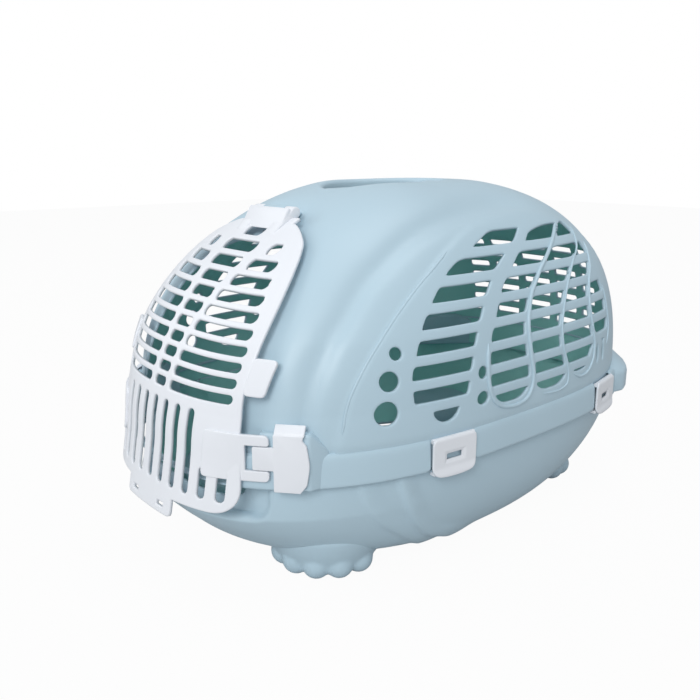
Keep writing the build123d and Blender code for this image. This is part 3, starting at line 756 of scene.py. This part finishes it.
def dome_x(y, z):
    """The dome's half width at a station and a height."""
    half_width, front, rear, front_power, rear_power = dome_reaches(z)
    reach, power = (rear, rear_power) if y >= WIDEST_Y else (front, float(front_power))
    return float(half_width * (1 - abs((y - WIDEST_Y) / reach) ** power) ** (1 / power))


def dome_side(y, z, side):
    """A point on the dome's side, and the way out from it."""
    x = dome_x(y, z)
    outward = Vector((1, (dome_x(y - 0.001, z) - dome_x(y + 0.001, z)) / 0.002,
                      (dome_x(y, z - 0.001) - dome_x(y, z + 0.001)) / 0.002)).normalized()
    place = Vector((x, y, z)) + outward * float(shell_relief(*np.array([[x], [y], [z]]))[0])
    return Vector((side * place.x, place.y, place.z)), Vector((side * outward.x, outward.y, outward.z))


BEAD_STEP = 0.0022


def bead(path, half_width, height, side):
    """A half-round bead along a path of (y, z) on the dome's side, tapered at its ends."""
    nodes = np.array(path, float) / 1000
    stations = np.concatenate([[0], np.cumsum(np.hypot(*np.diff(nodes, axis=0).T))])
    steps = np.linspace(0, stations[-1], int(stations[-1] / BEAD_STEP))
    ys, zs = (curve_through(stations, nodes[:, axis], steps) for axis in (0, 1))
    on_dome = [dome_side(y, z, side) for y, z in zip(ys, zs)]
    last = len(steps) - 1
    sections = []
    for k, (here, outward) in enumerate(on_dome):
        way = on_dome[min(k + 1, last)][0] - on_dome[max(k - 1, 0)][0]
        across = outward.cross(way.normalized())
        end = min(1.0, min(k, last - k) / 4 + 0.25)
        turns = [math.radians(degrees) for degrees in range(-15, 196, 30)]
        sections.append([here + across * (half_width * end * math.cos(turn))
                         + outward * (height * end * math.sin(turn)) for turn in turns])
    return lofted("bead", UNMOVED, sections, bevel=0, angle=70)


for half_width, height, path in BEADS:
    for side in (1, -1):
        shell = join(shell, bead(path, half_width / 1000, height / 1000, side))
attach(shell, "carrier")
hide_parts("upper_shell")

# The lower tub: the second blue moulding, a bowl that stands on four moulded paws.
# Its spigot runs up inside the shell's skirt, and its flange lies under the skirt's lower edge.
RIM_INSET = 0.0066
FLOOR_Z, TUB_RIM_Z = 0.012, 0.094
FLOOR_HALF_WIDTH, FLOOR_FRONT, FLOOR_REAR = 0.117, 0.133, 0.154
FLOOR_POWER, CHIN_Z, CHIN_HALF_HEIGHT, CHIN_REACH = 2.3, 0.066, 0.026, 0.008
# How the bowl's side curves in towards its floor, at the front and the sides, and at the rear.
BELLY_POWER, REAR_BELLY_POWER, BELLY_ROUNDING = 2.25, 1.92, 2.05


def tub_reaches(z):
    """The tub's half width, front and rear reach and its powers at a height."""
    drop = np.clip((TUB_RIM_Z - z) / (TUB_RIM_Z - FLOOR_Z), 0, 1)
    share = (1 - drop**BELLY_POWER) ** (1 / BELLY_ROUNDING)
    rear_share = (1 - drop**REAR_BELLY_POWER) ** (1 / BELLY_ROUNDING)
    chin = CHIN_REACH * np.maximum(0, 1 - np.abs(z - CHIN_Z) / CHIN_HALF_HEIGHT) ** 1.2
    return (
        FLOOR_HALF_WIDTH + (BAND_HALF_WIDTH - RIM_INSET - FLOOR_HALF_WIDTH) * share,
        FLOOR_FRONT + (BAND_FRONT - RIM_INSET - FLOOR_FRONT) * share + chin,
        FLOOR_REAR + (BAND_REAR - RIM_INSET - FLOOR_REAR) * rear_share,
        FRONT_POWER + (FLOOR_POWER - FRONT_POWER) * drop,
        REAR_POWER + (FLOOR_POWER - REAR_POWER) * drop,
    )


# The recess round the door's foot, in metres.
RECESS_HALF_WIDTH, RECESS_FOOT, RECESS_DEPTH = 0.0965, 0.0655, 0.0042
# Soft folds that fan out from above the front paw, as (y, z) in millimetres, with their depth.
TUB_FOLDS = [([(-120, 92), (-112, 70), (-98, 48), (-80, 32), (-60, 22)], 0.0030),
             ([(-150, 92), (-142, 72), (-128, 54), (-112, 42)], 0.0018)]


def tub_relief(x, y, z):
    """The recess round the way in, and the folds."""
    side = RECESS_HALF_WIDTH - np.abs(x)
    recess = soft_min(side, z - RECESS_FOOT, 0.014)
    in_front = smoothstep(-0.09, -0.12, y)
    relief = -RECESS_DEPTH * smoothstep(-0.0012, 0.0012, recess) * in_front
    relief -= SEAT_SLOPE * np.clip(side, 0, 0.012) * smoothstep(-0.0014, 0.0016, recess) * in_front
    for fold, depth in TUB_FOLDS:
        stations = [(height, station) for station, height in fold]
        away = beside_curve(sorted(stations), z, y)
        ridge = smoothstep(-0.016, 0.0, away) * (1 - smoothstep(0.0, 0.005, away))
        relief += depth * ridge * smoothstep(0.05, 0.09, np.abs(x))
    return relief


TUB_COLUMNS = 520
SILL_Z, SILL_CORNER, SPIGOT_TOP, BOWL_FOOT = 0.0790, 0.012, 0.1030, 0.0128
FLOOR_LEVELS, FLOOR_SHARE = (0.0125, 0.0165), 0.985
tub_turns = spaced_turns(TUB_COLUMNS, 0.125, lambda x, y: np.where(y < -0.1, 1.8, 1.0))
# Rows up the spigot, then rows that close in towards the floor.
tub_heights = np.concatenate([
    np.arange(0.1045, 0.0935, -0.0035), 0.0925 - 0.0805 * (1 - np.cos(np.linspace(0.12, np.pi / 2, 56))),
])
points = np.array([ring(tub_turns, height, tub_reaches(height)) for height in tub_heights])[::-1]
x, y, z = points[..., 0], points[..., 1], points[..., 2]
normal, _, _ = surface_slopes(points, z, True)
points = points + normal * tub_relief(x, y, z)[..., None]
way_in = soft_min(WAY_IN_HALF_WIDTH - np.abs(x), z - SILL_Z, SILL_CORNER)
cut = np.maximum.reduce([np.where(y < WAY_IN_Y, way_in, UNCUT), z - SPIGOT_TOP, BOWL_FOOT - z])
tub = moulded_sheet("tub", points, cut, WALL, rim=0.0008, wrap=True)
paint_sheet(tub)
floor_ring = [points[0, k] for k in range(0, TUB_COLUMNS, 8)]
sections = [[(p[0] * FLOOR_SHARE, p[1] * FLOOR_SHARE, level) for p in floor_ring] for level in FLOOR_LEVELS]
tub = join(tub, lofted("tub_floor", UNMOVED, sections, bevel=0))

# The flange that the clips hook under, as (height, inset) points of its section.
FLANGE_PROFILE = [(0.0921, 0.0085), (0.0921, 0.0034), (0.0925, 0.0028), (0.0933, 0.0028),
                  (0.0937, 0.0034), (0.0937, 0.0085)]
flange_turns = spaced_turns(400, 0.125)
rings = [ring(flange_turns, height, BAND_REACHES, inset) for height, inset in FLANGE_PROFILE]
faces = ring_faces(len(flange_turns), len(rings), closed=True)
flange = linked("flange", np.concatenate(rings).tolist(), faces)
tub = join(tub, finished(flange))

# The paws, moulded with the tub: each is a pad that widens upward into the bowl's wall, with five rounded
# toes at its foot. Its profile is in (radius, height) points, and the rear paws are narrower.
PAW_X, PAW_STATIONS = 0.068, ((-0.130, -1), (0.144, 1))
PAW_PROFILE = [(0.0, 0.0015), (0.026, 0.0015), (0.034, 0.0035), (0.0405, 0.009), (0.0450, 0.016),
               (0.0480, 0.023), (0.0502, 0.030), (0.0515, 0.036), (0.0500, 0.042), (0.0450, 0.047),
               (0.0, 0.050)]
TOE_COUNT, TOE_STEP, FIRST_TOE = 5, math.radians(29), math.radians(-6)
TOE_REACH, TOE_RADIUS, TOE_HALF_HEIGHT = 0.0355, 0.0118, 0.0165 * 0.72
PAW_STEPS, REAR_SPREAD, PAW_GRAIN = 48, 0.80, 0.0014


def paw(x, y, facing):
    """A paw under the tub, with its toes turned outward and towards its end of the carrier."""
    spread = 1.0 if facing < 0 else REAR_SPREAD
    turns = [math.tau * k / PAW_STEPS for k in range(PAW_STEPS)]
    vertices = [(x, y, PAW_PROFILE[0][1])]
    for radius, height in PAW_PROFILE[1:-1]:
        radius *= spread
        vertices += [(x + radius * math.cos(turn), y + radius * math.sin(turn), height) for turn in turns]
    vertices.append((x, y, PAW_PROFILE[-1][1]))
    last = len(vertices) - 1
    after = [(k + 1) % PAW_STEPS for k in range(PAW_STEPS)]
    faces = [(0, 1 + after[k], 1 + k) for k in range(PAW_STEPS)]
    faces += ring_faces(PAW_STEPS, len(PAW_PROFILE) - 2, first=1)
    faces += [(last, last - PAW_STEPS + k, last - PAW_STEPS + after[k]) for k in range(PAW_STEPS)]
    body = linked("paw", vertices, faces)
    toes = []
    outward = 1 if x > 0 else -1
    for toe in range(TOE_COUNT):
        turn = FIRST_TOE + toe * TOE_STEP
        reach = spread * TOE_REACH
        place = (x + outward * reach * math.cos(turn), y + facing * reach * math.sin(turn), TOE_HALF_HEIGHT)
        bpy.ops.mesh.primitive_uv_sphere_add(segments=32, ring_count=20, radius=TOE_RADIUS, location=place)
        bpy.context.object.scale = (1, 1, TOE_HALF_HEIGHT / TOE_RADIUS)
        bpy.ops.object.transform_apply(location=True, rotation=True, scale=True)
        toes.append(bpy.context.object)
    body = join(body, *toes)
    remesh = body.modifiers.new("remesh", "REMESH")
    remesh.mode = "VOXEL"
    remesh.voxel_size = PAW_GRAIN
    smooth = body.modifiers.new("smooth", "SMOOTH")
    smooth.factor, smooth.iterations = 0.5, 9
    select_only(body)
    for modifier_name in ("remesh", "smooth"):
        bpy.ops.object.modifier_apply(modifier=modifier_name)
    bpy.ops.object.shade_smooth()
    return body


for paw_y, facing in PAW_STATIONS:
    for side in (1, -1):
        tub = join(tub, paw(side * PAW_X, paw_y, facing))
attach(tub, "carrier")
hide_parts("lower_tub")

# The front door: one white moulding that curves over the way in, slotted all over.
# It hangs on two knuckles above the opening and carries the brackets for the latches and the foot tab.
DOOR_GAP, DOOR_SIDE_GAP, DOOR_WALL = 0.0012, 0.0042, 0.003
# Below SWELL_TOP the door leans away from the dome's line.
SWELL_TOP, SWELL_SLOPE, SWELL_BLEND = 0.118, 0.19, 0.012
# Half widths of the door's edge by height, in millimetres.
DOOR_EDGE = [(62, 92), (82, 92), (101, 90.5), (124, 88.5), (140, 87.5), (162, 86), (189, 86.5), (203, 85.5),
             (225, 81.5), (241, 75.5), (253, 68), (260, 61), (265, 52), (269, 43), (272, 36)]
TAB_HALF_WIDTH, TAB_FOOT, DOOR_FOOT, DOOR_TOP, FOOT_CORNER = 0.034, 0.0605, 0.0745, 0.2712, 0.022
# The level slots, three to a row: by height, half the middle slot's length, where the row ends, and the
# width of the curved bars between the slots, in millimetres.
SLOT_ROWS, FIRST_SLOT_Z, SLOT_PITCH, SLOT_HALF_HEIGHT = 11, 0.157, 0.01075, 0.0033
CENTRE_SLOT = [(157, 8.5), (170, 9), (191, 9.8), (202, 11.5), (213, 13.2), (224, 15), (235, 17.5), (244, 20),
               (254, 22), (265, 12)]
SLOT_END = [(157, 79), (178, 79), (189, 78.5), (200, 76.5), (211, 73.5), (221, 69.5), (232, 65), (243, 58.5),
            (254, 48.5), (265, 20)]
CURVED_BAR = [(157, 5.5), (211, 5.5), (221, 6.5), (232, 8), (243, 10.5), (254, 15), (265, 20)]
LEAST_SLOT = 0.008
# The upright slots below them, counted from the middle one out. The outer two on each side are short, to
# leave room for the brackets.
UPRIGHTS, LONG_UPRIGHTS = 6, 4
UPRIGHT_PITCH, UPRIGHT_HALF_WIDTH = 0.0155, 0.0035
UPRIGHT_FOOT, UPRIGHT_TOP, SHORT_UPRIGHT_TOP = 0.083, 0.146, 0.106
# The two small slots in the tab at the door's foot.
TAB_SLOT_X, TAB_SLOT_Z = 0.020, 0.0675
TAB_SLOT_HALF_LENGTH, TAB_SLOT_HALF_HEIGHT = 0.0045, 0.0016


def door_reach(z):
    """Front reach of the door's outer face on the middle line, behind its foot and up over the dome."""
    below = SWELL_TOP - z
    swell = SWELL_SLOPE * (np.sqrt(below**2 + SWELL_BLEND**2) + below) / 2
    slope = (dome_reaches(z - 0.002)[1] - dome_reaches(z + 0.002)[1]) / 0.004
    return dome_reaches(z)[1] + DOOR_GAP + swell + DOOR_WALL * np.sqrt(1 + slope**2)


def door_y(x, z, proud=0.0):
    """Where the door's outer face stands."""
    half_width, _, _, power, _ = dome_reaches(z)
    half_width = half_width + DOOR_SIDE_GAP + DOOR_WALL + proud
    share = np.clip(np.abs(x) / half_width, 0, 0.999)
    return WIDEST_Y - (door_reach(z) + proud) * (1 - share**power) ** (1 / power)


def stadium(x, z, middle_x, middle_z, half_length, half_height, upright=False):
    """Above zero within a slot with round ends."""
    along, across = np.abs(x - middle_x), np.abs(z - middle_z)
    if upright:
        along, across = across, along
        half_length, half_height = half_height, half_length
    past = np.maximum(along - (half_length - half_height), 0)
    return half_height - np.hypot(past, across)


def door_cut(x, z):
    """Above zero outside the door and in its slots."""
    edge = curve_mm(DOOR_EDGE, z)
    body = soft_min(soft_min(edge - np.abs(x), z - DOOR_FOOT, FOOT_CORNER), DOOR_TOP - z, 0.004)
    tab = soft_min(TAB_HALF_WIDTH - np.abs(x), z - TAB_FOOT, 0.003)
    cut = -np.maximum(body, tab)
    for row in range(SLOT_ROWS):
        middle = FIRST_SLOT_Z + row * SLOT_PITCH
        centre, end, bar = (float(curve_mm(curve, middle)) for curve in (CENTRE_SLOT, SLOT_END, CURVED_BAR))
        cut = np.maximum(cut, stadium(x, z, 0, middle, centre, SLOT_HALF_HEIGHT))
        start = centre + bar
        if end - start > LEAST_SLOT:
            slot = stadium(np.abs(x), z, (start + end) / 2, middle, (end - start) / 2, SLOT_HALF_HEIGHT)
            cut = np.maximum(cut, slot)
    for column in range(UPRIGHTS):
        top = UPRIGHT_TOP if column < LONG_UPRIGHTS else SHORT_UPRIGHT_TOP
        half = (top - UPRIGHT_FOOT) / 2
        middle_x = column * UPRIGHT_PITCH
        slot = stadium(np.abs(x), z, middle_x, top - half, UPRIGHT_HALF_WIDTH, half, upright=True)
        cut = np.maximum(cut, slot)
    tab_slot = soft_min(TAB_SLOT_HALF_LENGTH - np.abs(np.abs(x) - TAB_SLOT_X),
                        TAB_SLOT_HALF_HEIGHT - np.abs(z - TAB_SLOT_Z), 0.001)
    return np.maximum(cut, tab_slot)


# The door's rows are evenly spaced along its curved middle line.
profile_z = np.linspace(0.0575, 0.2745, 2000)
profile_y = door_y(0.0, profile_z)
length = np.concatenate([[0], np.cumsum(np.hypot(np.diff(profile_y), np.diff(profile_z)))])
door_heights = np.interp(np.linspace(0, length[-1], 212), length, profile_z)
door_stations = np.linspace(-0.0965, 0.0965, 157)
x, z = np.meshgrid(door_stations, door_heights)
points = np.stack([x, door_y(x, z), z], axis=2)
door = moulded_sheet("door", points, door_cut(x, z), DOOR_WALL, rim=0.0009)

# The wings, a small plate on each edge of the door that flares away from the shell.
WING_FOOT, WING_TOP, WING_END, WING_START = 0.1615, 0.1870, 0.1028, 0.0865
WING_PROUD, WING_FLARE, FLARE_START, FLARE_WIDTH = 0.0016, 0.0036, 0.086, 0.022
wing_middle, wing_half = (WING_FOOT + WING_TOP) / 2, (WING_TOP - WING_FOOT) / 2
for side in (1, -1):
    stations = np.sort(side * np.arange(0.076, 0.1125, 0.0012))
    flare = WING_PROUD + WING_FLARE * (np.maximum(np.abs(stations) - FLARE_START, 0) / FLARE_WIDTH) ** 2
    x, z = np.meshgrid(stations, np.arange(0.159, 0.190, 0.0013))
    end = WING_END + 0.0014 * (z - wing_middle) / wing_half
    across = np.minimum(end - np.abs(x), np.abs(x) - WING_START)
    field = soft_min(across, wing_half - np.abs(z - wing_middle), 0.0025)
    points = np.stack([x, door_y(x, z, flare), z], axis=2)
    door = join(door, moulded_sheet("wing", points, -field, DOOR_WALL, rim=0.0008))

# The brackets that the latch tongues run in, moulded with the door: plates that leave the door's face
# along a smooth curve for the latches' plane, each with a notch that is open at its end.
BRACKET_FOOT, BRACKET_TOP, BRACKET_START, BRACKET_END = 0.1008, 0.1352, 0.062, -0.0005
BRACKET_MIDDLE, BRACKET_PROUD, BRACKET_REACH = 0.115, 0.0015, 0.017
NOTCH_FOOT, NOTCH_TOP, NOTCH_DEPTH = 0.1088, 0.1274, 0.0175
for side in (1, -1):
    place = latch_frame(side)
    tail = place @ Vector((side * BRACKET_END, 0, 0))
    start = Vector((side * BRACKET_START, float(door_y(BRACKET_START, BRACKET_MIDDLE, BRACKET_PROUD)), 0))
    before, after = (door_y(BRACKET_START + step, BRACKET_MIDDLE) for step in (-0.004, 0.004))
    start_way = Vector((side, float(after - before) / 0.008, 0)).normalized()
    tail_way = side * place.col[0].to_3d()
    handles = [np.array(v)[:2] for v in (start, start + start_way * BRACKET_REACH,
                                         tail - tail_way * BRACKET_REACH, tail)]
    t = np.linspace(-0.02, 1.02, 60)[:, None]
    plan = ((1 - t) ** 3 * handles[0] + 3 * t * (1 - t) ** 2 * handles[1] + 3 * t**2 * (1 - t) * handles[2]
            + t**3 * handles[3])
    run = np.concatenate([[0], np.cumsum(np.hypot(*np.diff(plan, axis=0).T))])
    run = run - np.interp(0, t[:, 0], run)
    full = float(np.interp(1, t[:, 0], run))
    if side < 0:
        plan, run = plan[::-1], run[::-1]
    heights = np.arange(0.0955, 0.1395, 0.0011)
    along, z = np.meshgrid(run, heights)
    lean = door_y(BRACKET_START, z) - door_y(BRACKET_START, np.full_like(z, BRACKET_MIDDLE))
    x, y = (np.broadcast_to(plan[:, axis], z.shape) for axis in (0, 1))
    points = np.stack([x, y + lean * smoothstep(0.75 * full, 0.0, along), z], axis=2)
    level = np.minimum(z - BRACKET_FOOT, BRACKET_TOP - z)
    bracket = soft_min(soft_min(along, full - along, 0.001), level, 0.0035)
    notch = soft_min(along - (full - NOTCH_DEPTH), np.minimum(z - NOTCH_FOOT, NOTCH_TOP - z), 0.0012)
    door = join(door, moulded_sheet("bracket", points, np.maximum(-bracket, notch), DOOR_WALL, rim=0.0007))

# The knuckles, moulded with the door on two arms that rise from its top edge to the hinge line, and the
# hood in front of them, a plate that hides the lug between the knuckles.
KNUCKLE_WIDTH, HOOD_HALF_WIDTH = 0.012, 0.0268
# The hood's section, as (y, z) about the hinge line.
HOOD = [(-0.0172, -0.0125), (-0.0090, 0.0012), (-0.0070, 0.0040), (-0.0052, 0.0030), (-0.0058, -0.0020),
        (-0.0125, -0.0125)]
sections = [[(x, HINGE_Y + y, HINGE_Z + z) for y, z in HOOD] for x in (-HOOD_HALF_WIDTH, HOOD_HALF_WIDTH)]
door = join(door, lofted("hood", UNMOVED, sections, bevel=0.0009))
arm_z = DOOR_TOP - 0.008
arm_y = float(door_y(0.0, np.array(arm_z)))
for side in (1, -1):
    sections = [
        hinge_arc(x, -60, 150) + [(x, arm_y + 0.0003, arm_z), (x, arm_y + 0.004, arm_z - 0.001)]
        for x in (side * KNUCKLE_INNER, side * (KNUCKLE_INNER + KNUCKLE_WIDTH))
    ]
    door = join(door, lofted("knuckle", UNMOVED, sections, bevel=0.0010))
door.data.materials.append(white_plastic)
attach(door, "door")
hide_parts("front_door")

# The door latches: white plates that wrap the raised front corners and slide along them.
# Each has a tongue that runs in the door's bracket, and a lip folded back over the corner at top and bottom.


def rounded(corners, steps=5):
    """A closed outline with each corner (x, y, radius) rounded."""
    points = []
    for k, (x, y, radius) in enumerate(corners):
        here, before = Vector((x, y)), Vector(corners[k - 1][:2])
        after = Vector(corners[(k + 1) % len(corners)][:2])
        to_before, to_after = (before - here).normalized(), (after - here).normalized()
        half = to_before.angle(to_after) / 2
        reach = radius / math.tan(half)
        centre = here + (to_before + to_after).normalized() * radius / math.sin(half)
        for step in range(steps + 1):
            chord = (here + to_before * reach).lerp(here + to_after * reach, step / steps)
            points.append(centre + (chord - centre).normalized() * radius)
    return points


LATCH_FOOT, LATCH_BEND, LATCH_TOP, LATCH_START = 0.0938, 0.1365, 0.1425, 0.0025
TONGUE_FOOT, TONGUE_TOP, TONGUE_LENGTH = 0.1095, 0.1268, 0.0125
LATCH_OUTLINE = rounded([
    (-TONGUE_LENGTH, TONGUE_TOP, 0.001), (-TONGUE_LENGTH, TONGUE_FOOT, 0.001),
    (LATCH_START, TONGUE_FOOT, 0.0008), (LATCH_START, LATCH_FOOT, 0.001),
    (0.0215, LATCH_FOOT, 0.001), (0.0262, 0.1000, 0.003),
    (0.0284, 0.1140, 0.030), (0.0262, 0.1290, 0.006), (0.0232, 0.1325, 0.002),
    (0.0240, LATCH_BEND, 0.0012), (LATCH_START, LATCH_BEND, 0.0012), (LATCH_START, TONGUE_TOP, 0.0008),
])
# The sections of the lips folded back at the plate's top and foot, as (depth, height).
TOP_LIP = [(0.0, LATCH_BEND - 0.0012), (LATCH_THICK, LATCH_BEND - 0.0002),
           (LATCH_THICK + 0.0065, LATCH_TOP - 0.0022), (0.0065, LATCH_TOP), (0.0008, LATCH_BEND + 0.0012)]
FOOT_LIP = [(0.0008, LATCH_FOOT + 0.0002), (0.0062, LATCH_FOOT + 0.0002), (0.0062, LATCH_FOOT + 0.0030),
            (0.0008, LATCH_FOOT + 0.0030)]
LATCH_LIPS = [("fold", TOP_LIP, LATCH_START + 0.0006, 0.0246, 0.0007),
              ("foot", FOOT_LIP, LATCH_START + 0.0010, 0.0212, 0.0006)]
for side, name in ((1, "right"), (-1, "left")):
    place = latch_frame(side)
    sections = [[(side * p[0], p[1], -depth) for p in LATCH_OUTLINE] for depth in (0, LATCH_THICK)]
    latch = lofted(f"latch_{name}_look", place, sections, bevel=0.0006)
    for lip_name, lip, low, high, bevel in LATCH_LIPS:
        sections = [[(side * station, height, -depth) for depth, height in lip] for station in (low, high)]
        latch = join(latch, lofted(lip_name, place, sections, bevel))
    latch.data.materials.append(white_plastic)
    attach(latch, f"latch_{name}_body")
    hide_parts(f"latch_{name}")

# The side clips: white plates hinged in the band's windows on moulded pins, hooked under the flange.
# Each is one moulding, with a small slot in a shallow dish for a fingernail.
CLIP_HINGE_Z, CLIP_FOOT, CLIP_TOP = 0.1166, 0.0872, 0.1192
CLIP_WALL, CLIP_PROUD, CLIP_CORNER, CLIP_CURVE = 0.0020, 0.0012, 0.006, 0.0035
SLOT_HALF_LENGTH, SLOT_Z, SLOT_LEVEL = 0.0075, 0.1028, 0.0022
HOOK = [(-0.0060, 0.0888), (-0.0060, 0.0916), (-0.0006, 0.0916), (-0.0006, 0.0888)]
HOOK_HALF_WIDTH, PIN_RADIUS, PIN_DEPTH = 0.019, 0.0019, 0.0021
PIN = [(PIN_RADIUS * math.cos(turn) - PIN_DEPTH, CLIP_HINGE_Z + PIN_RADIUS * math.sin(turn))
       for turn in np.linspace(0, math.tau, 17)[:-1]]
CLIP_HALF_WIDTH = CLIP_WIDTH / 2
for clip_name, place in clip_frames.items():
    stations = np.linspace(-CLIP_HALF_WIDTH - 0.002, CLIP_HALF_WIDTH + 0.002, 60)
    x, z = np.meshgrid(stations, np.linspace(CLIP_FOOT - 0.002, CLIP_TOP + 0.002, 50))
    bottom = CLIP_FOOT + CLIP_CURVE * (np.abs(x) / CLIP_HALF_WIDTH) ** 3
    field = soft_min(CLIP_HALF_WIDTH - np.abs(x), soft_min(z - bottom, CLIP_TOP - z, 0.002), CLIP_CORNER)
    lean = 0.0016 * smoothstep(0.096, 0.0885, z) - 0.0022 * smoothstep(0.1165, 0.1205, z)
    beside_slot = np.maximum(np.abs(x) - SLOT_HALF_LENGTH - 0.002, np.abs(z - SLOT_Z) - SLOT_LEVEL - 0.0018)
    dish = -0.0008 * smoothstep(0.0012, -0.0012, beside_slot)
    local = np.stack([x, z, CLIP_PROUD + lean + dish], axis=2)
    points = local @ np.array(place.to_3x3()).T + np.array(place.translation)
    slot = soft_min(SLOT_HALF_LENGTH - np.abs(x), SLOT_LEVEL - np.abs(z - SLOT_Z), 0.0008)
    clip = moulded_sheet(f"clip_{clip_name}_look", points, np.maximum(-field, slot), CLIP_WALL, rim=0.0006)
    for part_name, profile, half, bevel, segments in (("hook", HOOK, HOOK_HALF_WIDTH, 0.0005, 2),
                                                      ("barrel", PIN, CLIP_HALF_WIDTH - 0.001, 0, 3)):
        sections = [[(station, height, depth) for depth, height in profile] for station in (-half, half)]
        clip = join(clip, lofted(part_name, place, sections, bevel, segments))
    clip.data.materials.append(white_plastic)
    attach(clip, f"clip_{clip_name}_body")
    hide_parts(f"clip_{clip_name}")

# The floor, the light and the camera: a pale floor and backdrop that the camera sees as nearly plain white,
# wide soft lamps, and a lens at the photograph's height, turned 50 degrees round from straight ahead.
FLOOR_SIZE, FLOOR_COLOR, FLOOR_GLOW = 8, (0.55, 0.55, 0.55, 1), 0.96
PURE_WHITE, SKY_WHITE = (1, 1, 1, 1), (0.94, 0.97, 1.0, 1)
bpy.ops.mesh.primitive_plane_add(size=FLOOR_SIZE, location=(0, 0, 0))
floor = bpy.context.object
floor.name = "floor"
floor_material = bpy.data.materials.new("floor_white")
floor_material.use_nodes = True
tree = floor_material.node_tree
principled = tree.nodes["Principled BSDF"]
principled.inputs["Base Color"].default_value = FLOOR_COLOR
principled.inputs["Roughness"].default_value = 0.9
seen = Wire(tree, tree.nodes.new("ShaderNodeLightPath").outputs["Is Camera Ray"])
glow = seen.node("Emission", {"Color": PURE_WHITE})
shade = seen.node("MixShader", {0: seen * FLOOR_GLOW, 1: Wire(tree, principled.outputs[0]), 2: glow})
tree.links.new(shade.socket, tree.nodes["Material Output"].inputs["Surface"])
floor.data.materials.append(floor_material)
floor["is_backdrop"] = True

WORLD_LIGHT = 0.50
world = bpy.data.worlds.new("studio")
bpy.context.scene.world = world
world.use_nodes = True
tree = world.node_tree
background = tree.nodes["Background"]
background.inputs["Color"].default_value = SKY_WHITE
background.inputs["Strength"].default_value = WORLD_LIGHT
path = tree.nodes.new("ShaderNodeLightPath")
seen, seen_through = (Wire(tree, path.outputs[name]) for name in ("Is Camera Ray", "Is Transmission Ray"))
white = seen.node("Background", {"Color": PURE_WHITE, "Strength": 1.0})
seen = seen.maths("MAXIMUM", seen_through)
shade = seen.node("MixShader", {0: seen, 1: Wire(tree, background.outputs[0]), 2: white})
tree.links.new(shade.socket, tree.nodes["World Output"].inputs["Surface"])


def soft_lamp(name, place, aim, size, power):
    """A round area lamp turned towards a point."""
    bpy.ops.object.light_add(type="AREA", location=place)
    lamp = bpy.context.object
    lamp.name = name
    lamp.data.shape = "DISK"
    lamp.data.size = size
    lamp.data.energy = power
    lamp.rotation_euler = (Vector(aim) - Vector(place)).to_track_quat("-Z", "Y").to_euler()


soft_lamp("key", (1.3, -2.0, 1.5), (0, 0, 0.15), 1.3, 33)
soft_lamp("fill", (-1.6, -1.4, 1.2), (0, 0, 0.12), 1.6, 9)
soft_lamp("top", (0.2, 0.3, 2.4), (0, 0, 0.2), 1.8, 14)

CAMERA_PLACE = (0.517, -0.487, 0.325)
CAMERA_TURN, CAMERA_DROP = 49.6, 14.6
FOCAL_PIXELS, PHOTO_WIDTH, SENSOR = 765, 700, 36
bpy.ops.object.camera_add(location=CAMERA_PLACE)
camera = bpy.context.object
camera.rotation_euler = (math.radians(90 - CAMERA_DROP), 0, math.radians(CAMERA_TURN))
camera.data.sensor_width = SENSOR
camera.data.lens = SENSOR * FOCAL_PIXELS / PHOTO_WIDTH
camera.data.clip_start = 0.01
scene = bpy.context.scene
scene.camera = camera
scene.view_settings.view_transform = "Standard"

low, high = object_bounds()
